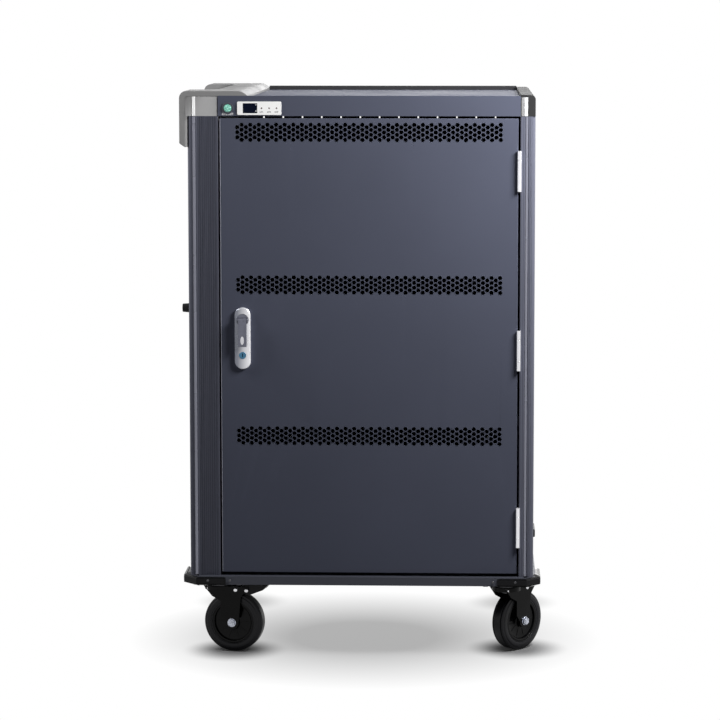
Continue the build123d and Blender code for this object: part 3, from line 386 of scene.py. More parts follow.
slateColour = (0.075, 0.0815, 0.114)
looks = {
    "slatePowder": {
        "colour": slateColour, "roughness": 0.52, "grainScale": 1400.0, "speck": 0.16, "bump": 0.35,
        "depth": 0.00012, "specular": 0.03,
    },
    "slateInside": {
        "colour": (0.045, 0.047, 0.066), "roughness": 0.5, "grainScale": 1400.0, "speck": 0.16,
        "specular": 0.25,
    },
    "topPowder": {
        "colour": slateColour, "roughness": 0.62, "grainScale": 1400.0, "speck": 0.1, "toneSpread": 0.04,
        "specular": 0.06,
    },
    # its dark stripes stand in for the shade in the ribs' grooves: painted shade
    "postAnodised": {
        "colour": (0.108, 0.113, 0.148), "ribs": 157.0, "roughness": 0.36, "grainScale": 260.0,
        "grainStretch": (3, 3, 0.004), "stretch": (1, 1, 0.15), "toneSpread": 0.03, "speck": 0.2, "bump": 0.05,
        "specular": 0.1,
    },
    "basePowder": {
        "colour": (0.05, 0.053, 0.068), "roughness": 0.4, "grainScale": 1200.0, "speck": 0.15, "dust": 0.12,
        "dustTop": 0.17, "specular": 0.2,
    },
    "capGrey": {
        "colour": (0.23, 0.229, 0.23), "roughness": 0.5, "grainScale": 2200.0, "speck": 0.06, "bump": 0.4,
        "toneSpread": 0.03, "specular": 0.07,
    },
    "trimGrey": {
        "colour": (0.027, 0.0268, 0.0274), "roughness": 0.6, "grainScale": 2200.0, "speck": 0.08, "bump": 0.4,
        "toneSpread": 0.03, "specular": 0.07,
    },
    "railGrey": {
        "colour": (0.035, 0.035, 0.038), "roughness": 0.6, "grainScale": 700.0, "grainStretch": (0.15, 5, 5),
        "speck": 0.15, "specular": 0.06,
    },
    "bumperRubber": {
        "colour": (0.004, 0.004, 0.005), "roughness": 0.16, "grainScale": 1600.0, "speck": 0.3, "bump": 0.1,
        "specular": 0.1,
    },
    "blackPlastic": {
        "colour": (0.01, 0.01, 0.011), "roughness": 0.38, "grainScale": 1800.0, "speck": 0.25, "bump": 0.3,
        "specular": 0.12,
    },
    "forkBlack": {
        "colour": (0.003, 0.003, 0.003), "roughness": 0.2, "grainScale": 900.0, "speck": 0.3, "bump": 0.15,
        "specular": 0.09,
    },
    "tyreRubber": {
        "colour": (0.004, 0.004, 0.006), "roughness": 0.3, "grainScale": 1100.0, "speck": 0.3, "bump": 0.2,
        "dust": 0.02, "dustTop": 0.03, "specular": 0.18,
    },
    "hubBlack": {
        "colour": (0.003, 0.003, 0.0035), "roughness": 0.18, "grainScale": 1500.0, "speck": 0.25, "bump": 0.1,
        "specular": 0.1,
    },
    "zincPlate": {
        "colour": (0.66, 0.66, 0.68), "roughness": 0.24, "metal": 1.0, "grainScale": 500.0, "toneScale": 120.0,
        "toneSpread": 0.12, "speck": 0.12, "bump": 0.1,
    },
    "screwDark": {
        "colour": (0.07, 0.07, 0.075), "roughness": 0.3, "metal": 0.9, "grainScale": 900.0, "toneScale": 160.0,
        "speck": 0.15,
    },
    "nutZinc": {
        "colour": (0.42, 0.44, 0.5), "roughness": 0.2, "metal": 0.8, "grainScale": 900.0, "toneScale": 330.0,
        "toneSpread": 0.55, "speck": 0.15,
    },
    "hingeSteel": {
        "colour": (0.74, 0.74, 0.77), "roughness": 0.3, "metal": 0.9, "grainScale": 400.0,
        "grainStretch": (8, 8, 0.1), "speck": 0.2, "bump": 0.15,
    },
    "leverSatin": {
        "colour": (0.125, 0.13, 0.165), "roughness": 0.26, "metal": 0.6, "grainScale": 1600.0, "speck": 0.12,
        "toneScale": 60.0, "toneSpread": 0.2, "bump": 0.1,
    },
    # much lighter than the lever's own metal: a painted highlight on its tip
    "tipBright": {
        "colour": (0.6, 0.6, 0.63), "roughness": 0.22, "metal": 0.8, "grainScale": 1600.0, "speck": 0.1,
        "toneScale": 90.0, "bump": 0.1,
    },
    # the plate's colour grades to near white towards its right side: a painted highlight
    "lockSatin": {
        "colour": (0.2, 0.21, 0.25), "across": (-0.233, -0.212, (0.9, 0.9, 0.93)), "roughness": 0.24,
        "metal": 0.5, "grainScale": 1600.0, "speck": 0.12, "bump": 0.2,
    },
    "keyBlue": {
        "colour": (0.045, 0.17, 0.29), "roughness": 0.3, "grainScale": 1500.0, "speck": 0.1, "metal": 0.3,
    },
    "displayWhite": {
        "colour": (0.94, 0.94, 0.93), "roughness": 0.3, "grainScale": 2000.0, "speck": 0.05, "toneSpread": 0.02,
        "specular": 0.3,
    },
    "windowDark": {
        "colour": (0.001, 0.003, 0.012), "roughness": 0.3, "grainScale": 900.0, "speck": 0.1,
        "toneSpread": 0.15, "specular": 0.05,
    },
    "inkGrey": {"colour": (0.12, 0.12, 0.13), "roughness": 0.6, "toneScale": 200.0},
    "inkWhite": {"colour": (0.8, 0.8, 0.8), "roughness": 0.5, "toneScale": 200.0},
    "lampDots": {"colour": (0.05, 0.02, 0.02), "roughness": 0.25, "toneScale": 200.0, "coat": 0.3},
    "stripBlack": {
        "colour": (0.02, 0.02, 0.022), "roughness": 0.42, "grainScale": 1500.0, "speck": 0.2, "specular": 0.3,
    },
    "gripRubber": {
        "colour": (0.012, 0.012, 0.014), "roughness": 0.52, "grainScale": 1300.0, "speck": 0.25, "bump": 0.4,
        "specular": 0.25,
    },
    # about twice as light as the posts' own colour: the bead is real, its lighter colour a painted highlight
    "postBeadPaintedHighlight": {
        "colour": (0.2, 0.205, 0.25), "roughness": 0.26, "metal": 0.4, "grainScale": 400.0,
        "grainStretch": (3, 3, 0.05), "speck": 0.15,
    },
    # a painted highlight: the door's powder coat made much lighter for the fold along its left edge
    "foldEdgePaintedHighlight": {
        "colour": (0.26, 0.265, 0.31), "roughness": 0.35, "grainScale": 900.0, "grainStretch": (3, 3, 0.1),
        "speck": 0.2, "specular": 0.2,
    },
    # near white, far lighter than the cap's own grey: a painted highlight on the cap's bead
    "capBeadPaintedHighlight": {"colour": (0.9, 0.9, 0.9), "roughness": 0.2, "metal": 0.3, "grainScale": 2200.0, "speck": 0.06},
    # near white on the dark trim: a painted highlight
    "trimBeadPaintedHighlight": {
        "colour": (0.85, 0.85, 0.86), "roughness": 0.2, "metal": 0.3, "grainScale": 2200.0, "speck": 0.06,
    },
    "bezelSlate": {
        "colour": (0.05, 0.052, 0.07), "roughness": 0.3, "grainScale": 1500.0, "speck": 0.1, "specular": 0.4,
    },
}
finishes = {name: coatedFinish(name, look) for name, look in looks.items()}


def litButtonFinish():
    look = {
        "green": (0.008, 0.24, 0.16), "light": (0.3, 0.68, 0.56), "glow": 0.2, "roughness": 0.16,
        "cells": 420.0, "coat": 0.8,
    }
    finish, tree, shader = finishNodes("litButton")
    cells = patternOf(tree, "ShaderNodeTexVoronoi", look["cells"])
    lit = spreadTo(tree, cells.outputs["Distance"], None, 0, 1, 0.1, 0.8)
    mixed = blendColours(tree, lit, look["green"], look["light"])
    tree.links.new(mixed, shader.inputs["Base Color"])
    tree.links.new(mixed, shader.inputs["Emission Color"])
    shader.inputs["Emission Strength"].default_value = look["glow"]
    shader.inputs["Roughness"].default_value = look["roughness"]
    shader.inputs["Coat Weight"].default_value = look["coat"]
    return finish


finishes["litButton"] = litButtonFinish()

finishOfSlot = {
    "slate_steel": "slateInside", "slate_aluminium": "postAnodised", "base_grey": "basePowder",
    "light_grey_plastic": "capGrey", "mid_grey_plastic": "trimGrey", "black_plastic": "blackPlastic",
    "black_steel": "forkBlack", "rubber": "tyreRubber", "zinc": "zincPlate", "hinge_steel": "hingeSteel",
    "lock_metal": "lockSatin", "key_blue": "keyBlue", "lamp_green": "litButton", "white_plastic": "displayWhite",
    "dark_window": "windowDark", "lamp_red": "lampDots",
}
ownFinish = {
    "door_panel": "slatePowder", "fascia": "slatePowder", "top_panel": "topPowder", "rear_panel": "slatePowder",
    "side_panel_left": "slatePowder", "side_panel_right": "slatePowder", "rear_rail": "railGrey",
    "grip_bar": "gripRubber", "power_strips": "stripBlack", "corner_bumpers": "bumperRubber",
}
for node, thing in nodes.items():
    paint(thing, finishes[ownFinish.get(node, finishOfSlot[slotOfNode[node]])])
print("finishes made:", len(finishes))

view = {
    "place": (0.21001, -5.34057, 1.21517), "turn": 0.03147, "pitch": 0.10503,
    "lens": 2712.93 / 720 * 36, "shiftX": -0.0393, "shiftY": -0.0832,
}
bpy.ops.object.camera_add(location=view["place"], rotation=(math.pi / 2 - view["pitch"], 0, view["turn"]))
camera = bpy.context.object
camera.data.lens = view["lens"]
camera.data.sensor_width = 36
camera.data.shift_x = view["shiftX"]
camera.data.shift_y = view["shiftY"]
camera.data.clip_end = 200
scene.camera = camera


def backgroundRays(tree):
    # 1 for rays that should see the white background: from the camera, mirrored or through glass
    ray = tree.nodes.new("ShaderNodeLightPath")
    seen = ray.outputs["Is Camera Ray"]
    for kind in ("Is Glossy Ray", "Is Transmission Ray"):
        seen = combined(tree, "MAXIMUM", seen, ray.outputs[kind])
    return seen


def paleFloor():
    # a painted shadow: an oval of the floor under the cart and a spot round each wheel are greyer than the rest even
    # where lamps light them, with the real shadow showing through there, and white further out for the rays that see
    # the background
    floor = {
        "size": 60.0, "colour": (0.2, 0.2, 0.203, 1), "roughness": 0.85, "specular": 0.15,
        "nearWhite": 0.43, "middle": (0.0, 0.13, 0.0), "squeeze": (1.0, 1.1, 1.0), "fadeFrom": 0.14, "fadeTo": 0.46,
        "wheelShadowSpots": [
            # where a wheel stands, and how white the floor stays there: lower values paint a darker shadow spot
            ((-0.2452, -0.2363, 0.0), 0.02), ((0.2956, -0.2075, 0.0), 0.02),
            ((-0.2697, 0.2, 0.0), 0.6), ((0.2925, 0.205, 0.0), 0.6),
        ],
        "wheelFrom": 0.025, "wheelTo": 0.105,
    }
    deselect()
    bpy.ops.mesh.primitive_plane_add(size=floor["size"], location=(0, 0, 0))
    piece = bpy.context.object
    piece.name = "floor"
    finish, tree, shader = finishNodes("paleFloor")
    shader.inputs["Base Color"].default_value = floor["colour"]
    shader.inputs["Roughness"].default_value = floor["roughness"]
    shader.inputs["Specular IOR Level"].default_value = floor["specular"]
    white = tree.nodes.new("ShaderNodeEmission")
    white.inputs["Strength"].default_value = 1.0
    place = tree.nodes.new("ShaderNodeTexCoord")
    centred = tree.nodes.new("ShaderNodeMapping")
    centred.inputs["Location"].default_value = floor["middle"]
    centred.inputs["Scale"].default_value = floor["squeeze"]
    tree.links.new(place.outputs["Object"], centred.inputs["Vector"])
    reach = tree.nodes.new("ShaderNodeVectorMath")
    reach.operation = "LENGTH"
    tree.links.new(centred.outputs["Vector"], reach.inputs[0])
    whiteAroundPaintedShadow = spreadTo(tree, reach.outputs["Value"], None, floor["nearWhite"], 1.0, floor["fadeFrom"], floor["fadeTo"])
    # painted shadow: near each wheel the floor's white is taken away, so a darker spot shows round it even where lamps
    # light the floor, and the real shadow shows through as well
    for wheelAt, wheelShadowWhite in floor["wheelShadowSpots"]:  # the shadow shows most where the wheels stand
        toWheel = tree.nodes.new("ShaderNodeVectorMath")
        toWheel.operation = "DISTANCE"
        toWheel.inputs[1].default_value = wheelAt
        tree.links.new(place.outputs["Object"], toWheel.inputs[0])
        wheelPaintedShadow = spreadTo(
            tree, toWheel.outputs["Value"], None, wheelShadowWhite, 1.0, floor["wheelFrom"], floor["wheelTo"],
        )
        wheelPaintedShadow.node.interpolation_type = "SMOOTHSTEP"
        whiteAroundPaintedShadow = combined(tree, "MULTIPLY", whiteAroundPaintedShadow, wheelPaintedShadow)
    mix = tree.nodes.new("ShaderNodeMixShader")
    tree.links.new(combined(tree, "MULTIPLY", backgroundRays(tree), whiteAroundPaintedShadow), mix.inputs["Fac"])
    tree.links.new(shader.outputs["BSDF"], mix.inputs[1])
    tree.links.new(white.outputs["Emission"], mix.inputs[2])
    tree.links.new(mix.outputs["Shader"], tree.nodes["Material Output"].inputs["Surface"])
    paint(piece, finish)


def softRoom():
    room = {"light": 0.01, "seen": 1.0}
    world = bpy.data.worlds.new("softRoom")
    scene.world = world
    world.use_nodes = True
    tree = world.node_tree
    sky = tree.nodes["Background"]
    sky.inputs["Color"].default_value = (1, 1, 1, 1)
    level = tree.nodes.new("ShaderNodeMapRange")
    level.inputs["To Min"].default_value = room["light"]
    level.inputs["To Max"].default_value = room["seen"]
    tree.links.new(backgroundRays(tree), level.inputs["Value"])
    tree.links.new(level.outputs["Result"], sky.inputs["Strength"])


def softLamp(name, place, target, size, power):
    bpy.ops.object.light_add(type="AREA", location=place)
    lamp = bpy.context.object
    lamp.name = name
    lamp.data.shape = "RECTANGLE"
    lamp.data.size, lamp.data.size_y = size
    lamp.data.energy = power
    lamp.rotation_mode = "QUATERNION"
    lamp.rotation_quaternion = (Vector(target) - Vector(place)).to_track_quat("-Z", "Y")
    lamp.visible_camera = False


lamps = {
    # name: place, what it points at, size, watts
    "keyLamp": ((0.88, -0.76, 1.46), (0.4, -0.285, 1.0), (0.45, 0.45), 29),
    "stripLamp": ((-0.95, -0.47, 1.25), (-0.32, -0.285, 0.95), (0.12, 0.5), 5),
    "leftLamp": ((-2.6, 0.5, 1.4), (-0.34, 0, 0.6), (1.4, 1.4), 12),
    "rightLamp": ((2.6, 0.5, 1.4), (0.34, 0, 0.6), (1.4, 1.4), 16),
    "topLamp": ((0.1, 0.6, 2.9), (0, 0, 0.5), (1.2, 1.2), 18),
    "backLamp": ((0.4, 3.0, 1.6), (0, 0.285, 0.6), (1.6, 1.6), 30),
}
paleFloor()
softRoom()
for lampName, lampValues in lamps.items():
    softLamp(lampName, *lampValues)
print("camera and light placed")

casts = {
    # node: new piece, edge radius, finish
    "post_front_left": ("postFrontLeft", 0.00025, "postAnodised"),
    "post_front_right": ("postFrontRight", 0.00025, "postAnodised"),
    "post_rear_left": ("postRearLeft", 0.00025, "postAnodised"),
    "post_rear_right": ("postRearRight", 0.00025, "postAnodised"),
    "top_panel": ("topSheet", 0.0004, "topPowder"),
    "rear_rail": ("rearRail", 0.0006, "railGrey"),
    "fascia": ("headerSheet", 0.0004, "slatePowder"),
    "side_panel_left": ("liftOffSide", 0.0006, "slatePowder"),
    "side_panel_right": ("rightSide", 0.0006, "slatePowder"),
    "base_tray": ("baseTray", 0.0022, "basePowder"),
    "frame_hinge_leaves": ("hingeFrameLeaves", 0.0003, "hingeSteel"),
    "door_hinge_leaves": ("hingeDoorLeaves", 0.0003, "hingeSteel"),
    "lock_spindle": ("lockSpindle", 0.0004, "leverSatin"),
    "lock_lever": ("lockLever", 0.0012, "leverSatin"),
    "lock_cylinder": ("keyCylinder", 0.0004, "keyBlue"),
    "switch_bezel": ("buttonBezel", 0.0005, "bezelSlate"),
    "side_lock_body": ("sideLockBody", 0.0007, "blackPlastic"),
    "side_lock_cylinder": ("sideLockCylinder", 0.0004, "zincPlate"),
    "caster_plates": ("casterPlates", 0.0008, "screwDark"),
    "mains_inlet": ("mainsInlet", 0.0007, "blackPlastic"),
    "control_box": ("controlBox", 0.0012, "blackPlastic"),
    "fan_frame": ("fanFrame", 0.0006, "blackPlastic"),
    "fan_rotor": ("fanRotor", 0.0004, "blackPlastic"),
    "brake_pedal_front_left": ("brakePedalFrontLeft", 0.0016, "blackPlastic"),
    "brake_pedal_rear_left": ("brakePedalRearLeft", 0.0016, "blackPlastic"),
}
for node, (name, width, finish) in casts.items():
    piece = castCopy(node, name, width)
    settle(piece, bodyOfNode[node], finishes[finish], slotOfNode[node], node)
print("cast pieces:", len(casts))


def makeBumpers():
    # rounded corner guards, with the front wall set back a little
    bumper = {
        # one corner seen from above, metres from the middle of the cart
        "outline": [
            (0.257, 0.300), (0.312, 0.300), (0.340, 0.272), (0.340, 0.200),
            (0.330, 0.200), (0.330, 0.2763), (0.3093, 0.297), (0.257, 0.297),
        ],
        "low": 0.140, "high": 0.1537, "edge": 0.0036, "panelInset": 0.0022, "panelEdge": 0.0005, "panelDepth": -0.0006,
    }
    inner, front = bumper["outline"][0]
    side = bumper["outline"][2][0]

    def outside(a, b):
        # edges round the outer wall, not those that lie against the tray
        return all(
            p.y > front - 0.0001 or p.x > side - 0.0001 for p in (a, b)
        ) and not (abs(a.z - b.z) > 0.001 and min(a.x, b.x) < inner + 0.001)

    master = platePiece("bumper", bumper["outline"], bumper["low"], bumper["high"])
    roundPicked(master, outside, bumper["edge"], 5)
    activate(master)
    for face in master.data.polygons:
        face.select = face.normal.y > 0.99 and face.center.y > front - 0.0001
    bpy.ops.object.mode_set(mode="EDIT")
    bpy.ops.mesh.select_mode(type="FACE")
    bpy.ops.mesh.inset(thickness=bumper["panelInset"], depth=0)
    bpy.ops.mesh.inset(thickness=bumper["panelEdge"], depth=bumper["panelDepth"])
    bpy.ops.object.mode_set(mode="OBJECT")
    corners = []
    for across in (-1, 1):
        for along in (-1, 1):
            corner = copyPiece(master, "bumper", turn=Matrix.Diagonal((across, along, 1, 1)))
            faceOutwards(corner)
            corners.append(corner)
    bpy.data.objects.remove(master)
    piece = joinPieces(corners, "cornerBumpers")
    smoothOver(piece, 32)
    return piece


settle(makeBumpers(), "cabinet", finishes["bumperRubber"], slotOfNode["corner_bumpers"], "corner_bumpers")


def makeMoulding():
    # the rim that runs up the side, over the corner and along the top, with a flat panel set into its front
    moulding = {
        "left": -0.34, "front": 0.285, "cornerX": -0.325, "cornerZ": 1.0585, "headerTop": 1.0639,
        "rim": 0.0045, "panelLow": (-0.3305, 1.0180), "panelHigh": (-0.2655, 1.0632),
        "panelDepth": 0.0009, "panelCorner": 0.006, "skirtRight": -0.3200, "skirtLow": 0.960,
    }

    def outer(point):
        return (
            point.x < moulding["left"] + 0.0005
            or point.z > moulding["headerTop"]
            or (point.x < moulding["cornerX"] and point.z > moulding["cornerZ"])
        )

    def frontOutline(a, b):
        along = all(abs(abs(point.y) - moulding["front"]) < 0.00005 and outer(point) for point in (a, b))
        onHeader = all(
            point.z < moulding["headerTop"] + 0.0002 and point.x > moulding["cornerX"] for point in (a, b)
        )
        return along and not onHeader

    piece = castCopy("handle_moulding", "handleMoulding", 0)
    roundPicked(piece, frontOutline, moulding["rim"], 5)
    lowX, lowZ = moulding["panelLow"]
    highX, highZ = moulding["panelHigh"]
    for side in (-1, 1):
        ends = sorted((side * (moulding["front"] - moulding["panelDepth"]), side * (moulding["front"] + 0.01)))
        panel = boxPiece("panelCutter", (lowX, ends[0], lowZ), (highX, ends[1], highZ))
        roundPicked(
            panel, lambda a, b: all(p.x < lowX + 0.0001 and p.z > highZ - 0.0001 for p in (a, b)),
            moulding["panelCorner"], 6,
        )
        skirt = boxPiece(
            "skirtCutter", (lowX, ends[0], moulding["skirtLow"]), (moulding["skirtRight"], ends[1], lowZ),
        )
        cutWith(piece, panel)
        cutWith(piece, skirt)
    smoothOver(piece)
    return piece


settle(makeMoulding(), "cabinet", finishes["capGrey"], "light_grey_plastic", "handle_moulding")


def makeTrim():
    trim = {"front": 0.285, "rim": 0.003, "right": 0.325, "top": 1.066, "corner": 0.010, "soft": 0.0007}

    def frontOutline(a, b):
        atEnd = all(abs(abs(point.y) - trim["front"]) < 0.00005 for point in (a, b))
        outer = all(
            point.x > trim["right"] - 0.0001 or point.z > trim["top"] - 0.0001
            or (point.x > trim["right"] - trim["corner"] and point.z > trim["top"] - trim["corner"])
            for point in (a, b)
        )
        return atEnd and outer

    piece = castCopy("right_trim", "rightTrim", 0)
    roundPicked(piece, frontOutline, trim["rim"], 4)
    roundEdges(piece, trim["soft"], 2, 40)
    smoothOver(piece)
    return piece


settle(makeTrim(), "cabinet", finishes["trimGrey"], "mid_grey_plastic", "right_trim")


def makeFlutes():
    # convex strips that run up the posts and on over the end caps, each coloured lighter than the part it lies on:
    # painted highlights
    flutes = {
        "proud": 0.0009, "sunk": 0.0015, "width": 0.0011,
        "rows": [
            # piece, finish, slot, sides of each strip, surface it lies on, low and high end
            # painted highlights: the left cap strip near white, and on the dark right trim one strip in the lighter cap
            # grey and one near white
            ("leftCapFlutes", "capBeadPaintedHighlight", "light_grey_plastic", ((-0.3155, -0.3098),), 0.2841, 1.0266, 1.0622),
            ("rightCapLandPaintedHighlight", "capGrey", "mid_grey_plastic", ((0.2982, 0.3028),), 0.285, 1.0266, 1.0612),
            ("rightCapFlute", "trimBeadPaintedHighlight", "mid_grey_plastic", ((0.3038, 0.3104),), 0.285, 1.0266, 1.0612),
            # the post beads are coloured lighter than the posts: a painted highlight
            ("leftPostBead", "postBeadPaintedHighlight", "slate_aluminium", ((-0.3152, -0.3098),), 0.285, 0.1575, 1.0254),
            ("rightPostBead", "postBeadPaintedHighlight", "slate_aluminium", ((0.3066, 0.3112),), 0.285, 0.1575, 1.0254),
        ],
    }
    for name, finish, slot, sides, surface, low, high in flutes["rows"]:
        strips = []
        for lowX, highX in sides:
            for end in (-1, 1):
                ends = sorted((end * (surface - flutes["sunk"]), end * (surface + flutes["proud"])))
                strip = boxPiece("strip", (lowX, ends[0], low), (highX, ends[1], high))
                roundPicked(
                    strip, lambda a, b: all(abs(p.y) > surface + flutes["proud"] / 2 for p in (a, b))
                    and abs(a.x - b.x) < 0.0001, flutes["width"], 5,
                )
                strips.append(strip)
        piece = joinPieces(strips, name)
        smoothOver(piece, 50)
        settle(piece, "cabinet", finishes[finish], slot)


makeFlutes()


def makeDoor():
    door = {"left": -0.264, "right": 0.2932, "low": 0.162, "high": 1.022, "front": -0.285, "edge": 0.0011}

    def border(a, b):
        onFront = all(abs(point.y - door["front"]) < 0.00005 for point in (a, b))
        return onFront and any(
            all(abs(getattr(point, axis) - door[side]) < 0.00005 for point in (a, b))
            for axis, side in (("x", "left"), ("x", "right"), ("z", "low"), ("z", "high"))
        )

    piece = sheetCopy("door_panel", "ventedDoor", border, door["edge"])
    settle(piece, "door", finishes["slatePowder"], slotOfNode["door_panel"], "door_panel")


def makeDoorBead():
    # a thin rod along the door's left edge, coloured about three times as light as the door: a painted highlight on its
    # fold
    fold = {"x": -0.2634, "radius": 0.0006, "y": -0.2851, "low": 0.1632, "high": 1.0208}
    bead = prismPiece(
        "doorEdgeBead", 12, fold["radius"], (fold["x"], fold["y"], fold["low"]), (fold["x"], fold["y"], fold["high"]),
    )
    smoothOver(bead, 50)
    settle(bead, "door", finishes["foldEdgePaintedHighlight"], slotOfNode["door_panel"])


def makeVentRims():
    # the bead of paint round each punched hexagon
    vents = {
        "columns": 62, "rows": 3, "pitch": 0.0093, "across": 0.0075, "middleX": 0.0146,
        "heights": (0.996, 0.710, 0.424), "front": -0.285, "proud": 0.00022, "lip": 0.00035, "width": 0.00055,
    }
    toCorner = 1 / math.cos(math.pi / 6)
    inner = vents["across"] / 2 * toCorner
    proud, width = vents["proud"], vents["width"]
    bead = [
        (-0.0004, inner - 0.00002), (proud * 0.6, inner), (proud, inner + vents["lip"] * 0.5),
        (proud * 0.6, inner + width), (-0.0001, inner + width * 1.15),
    ]
    rim = turnedPiece("rim", bead, (0, 0, 0), (0, -1, 0), 6, closed=True)
    turn = Matrix.Rotation(math.pi / 2, 4, "Y")  # corners to the sides, as the holes have them
    copies = []
    for height in vents["heights"]:
        for column in range(vents["columns"]):
            rows = vents["rows"] + column % 2
            x = vents["middleX"] + (column - (vents["columns"] - 1) / 2) * vents["pitch"] * math.sqrt(3) / 2
            for row in range(rows):
                z = height + (row - (rows - 1) / 2) * vents["pitch"]
                copies.append(copyPiece(rim, "rim", (x, vents["front"], z), turn))
    bpy.data.objects.remove(rim)
    piece = joinPieces(copies, "doorVentRims")
    settle(piece, "door", finishes["slatePowder"], slotOfNode["door_panel"])


makeDoor()
makeDoorBead()
makeVentRims()


def makeBack():
    back = {"front": 0.285, "edge": 0.0008, "xs": (-0.2675, 0.2975), "zs": (0.156, 1.0585)}

    def border(a, b):
        onFront = all(abs(point.y - back["front"]) < 0.00005 for point in (a, b))
        return onFront and any(
            all(abs(getattr(point, axis) - place) < 0.00005 for point in (a, b))
            for axis, places in (("x", back["xs"]), ("z", back["zs"])) for place in places
        )

    piece = sheetCopy("rear_panel", "slottedBack", border, back["edge"])
    settle(piece, "cabinet", finishes["slatePowder"], slotOfNode["rear_panel"], "rear_panel")


makeBack()


def makeLockPlate():
    lock = {"edge": 0.0034, "soft": 0.0005}
    low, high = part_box("lock_housing")
    middleX, radius = (low[0] + high[0]) / 2, (high[0] - low[0]) / 2

    def rim(a, b):
        # the outline of the front face: two straight sides and two half rounds
        def onRim(point):
            nearest = min(max(point.z, low[2] + radius), high[2] - radius)
            return math.hypot(point.x - middleX, point.z - nearest) > radius - 0.0002
        return all(abs(point.y - low[1]) < 0.00005 and onRim(point) for point in (a, b))

    piece = castCopy("lock_housing", "lockPlate", 0)
    roundPicked(piece, rim, lock["edge"], 6)
    roundEdges(piece, lock["soft"], 2, 40)
    smoothOver(piece, 40)
    settle(piece, bodyOfNode["lock_housing"], finishes["lockSatin"], slotOfNode["lock_housing"], "lock_housing")


def makeLeverTip():
    # the raised rounded finger end of the lever, coloured much lighter than the lever: a painted highlight
    tip = {"half": (0.0036, 0.0008, 0.0085), "z": 0.606, "sunk": 0.0003, "segments": 24, "rings": 12}
    low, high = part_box("lock_lever")
    deselect()
    bpy.ops.mesh.primitive_uv_sphere_add(
        segments=tip["segments"], ring_count=tip["rings"], radius=1,
        location=((low[0] + high[0]) / 2, low[1] + tip["sunk"], tip["z"]),
    )
    piece = bpy.context.object
    piece.name = "leverTip"
    piece.scale = tip["half"]
    applyPlace(piece)
    smoothOver(piece, 60)
    settle(piece, bodyOfNode["lock_lever"], finishes["tipBright"], slotOfNode["lock_lever"])


makeLockPlate()
makeLeverTip()


def makeDisplay():
    display = {"corner": 0.0022, "edge": 0.0005, "low": (-0.231, 1.0282), "high": (-0.1485, 1.0532)}

    def corners(a, b):
        return abs(a.y - b.y) > 0.0005 and all(
            min(abs(p.x - x) for x in (display["low"][0], display["high"][0])) < 0.0001
            and min(abs(p.z - z) for z in (display["low"][1], display["high"][1])) < 0.0001
            for p in (a, b)
        )

    piece = castCopy("display_housing", "displayHousing", 0)
    roundPicked(piece, corners, display["corner"], 5)
    roundEdges(piece, display["edge"], 2)
    smoothOver(piece)
    settle(piece, "cabinet", finishes["displayWhite"], "white_plastic", "display_housing")


makeDisplay()
print("sheet metal and mouldings made")

casters = {
    "radius": 0.0575, "trail": 0.0305, "insetX": 0.275, "insetY": 0.23, "legOuter": 0.0205, "forkEdge": 0.0011,
    "yaw": {"front_left": -12.0, "front_right": 47.5, "rear_left": -80.0, "rear_right": -55.0},
}


def casterPlace(corner):
    sideways = 1 if corner.endswith("right") else -1
    back = 1 if corner.startswith("rear") else -1
    place = Matrix.Translation((sideways * casters["insetX"], back * casters["insetY"], 0))
    return place @ Matrix.Rotation(math.radians(casters["yaw"][corner]), 4, "Z")


wheelMiddle = (casters["trail"], 0, casters["radius"])


def makeTyre():
    tyre = {
        # across the tread from the middle, and radius, in millimetres
        "outline": [
            (0.0, 57.49), (7.2, 57.4), (7.8, 57.0), (8.1, 55.6), (8.7, 55.0), (9.6, 55.0), (10.2, 55.5), (10.5, 56.5),
            (11.4, 56.7), (12.6, 56.1), (13.2, 55.0), (13.4, 52.8), (13.7, 51.6), (14.6, 51.0), (15.0, 50.2),
            (15.0, 45.2), (14.6, 44.0), (13.9, 43.6), (13.8, 42.4), (14.2, 41.9), (14.2, 41.2), (14.0, 41.0),
        ],
        "sides": 96,
    }
    half = inMetres(tyre["outline"])
    profile = [(-across, radius) for across, radius in reversed(half)] + half[1:]
    piece = turnedPiece("tyre", profile, wheelMiddle, (0, 1, 0), tyre["sides"], closed=True)
    smoothOver(piece, 40)
    return piece


def makeHub():
    hub = {
        "outline": [
            (9.9, 15.0), (9.3, 18.0), (9.0, 24.0), (9.3, 31.0), (10.2, 34.0), (10.0, 34.8), (8.6, 35.1), (8.6, 36.0),
            (12.6, 36.4), (13.4, 36.8), (13.9, 37.4), (13.9, 40.3), (13.5, 40.9),
        ],
        "boss": [(15.9, 5.05), (15.9, 11.4), (15.2, 12.4), (11.4, 13.0), (10.4, 13.8)],
        "sides": 72, "ribs": 10, "ribThick": 0.003, "ribReach": (0.0124, 0.0345), "ribHigh": 0.0099, "ribEdge": 0.0004,
    }
    half = inMetres(hub["boss"] + hub["outline"])
    profile = half + [(-across, radius) for across, radius in reversed(half)]
    body = turnedPiece("hub", profile, wheelMiddle, (0, 1, 0), hub["sides"], closed=True)
    rib = boxPiece(
        "rib", (hub["ribReach"][0], -hub["ribHigh"], -hub["ribThick"] / 2),
        (hub["ribReach"][1], hub["ribHigh"], hub["ribThick"] / 2),
    )
    roundEdges(rib, hub["ribEdge"], 2)
    ribs = [
        copyPiece(rib, "rib", wheelMiddle, Matrix.Rotation(2 * math.pi * k / hub["ribs"], 4, "Y"))
        for k in range(hub["ribs"])
    ]
    bpy.data.objects.remove(rib)
    piece = joinPieces([body] + ribs, "hub")
    smoothOver(piece, 40)
    return piece


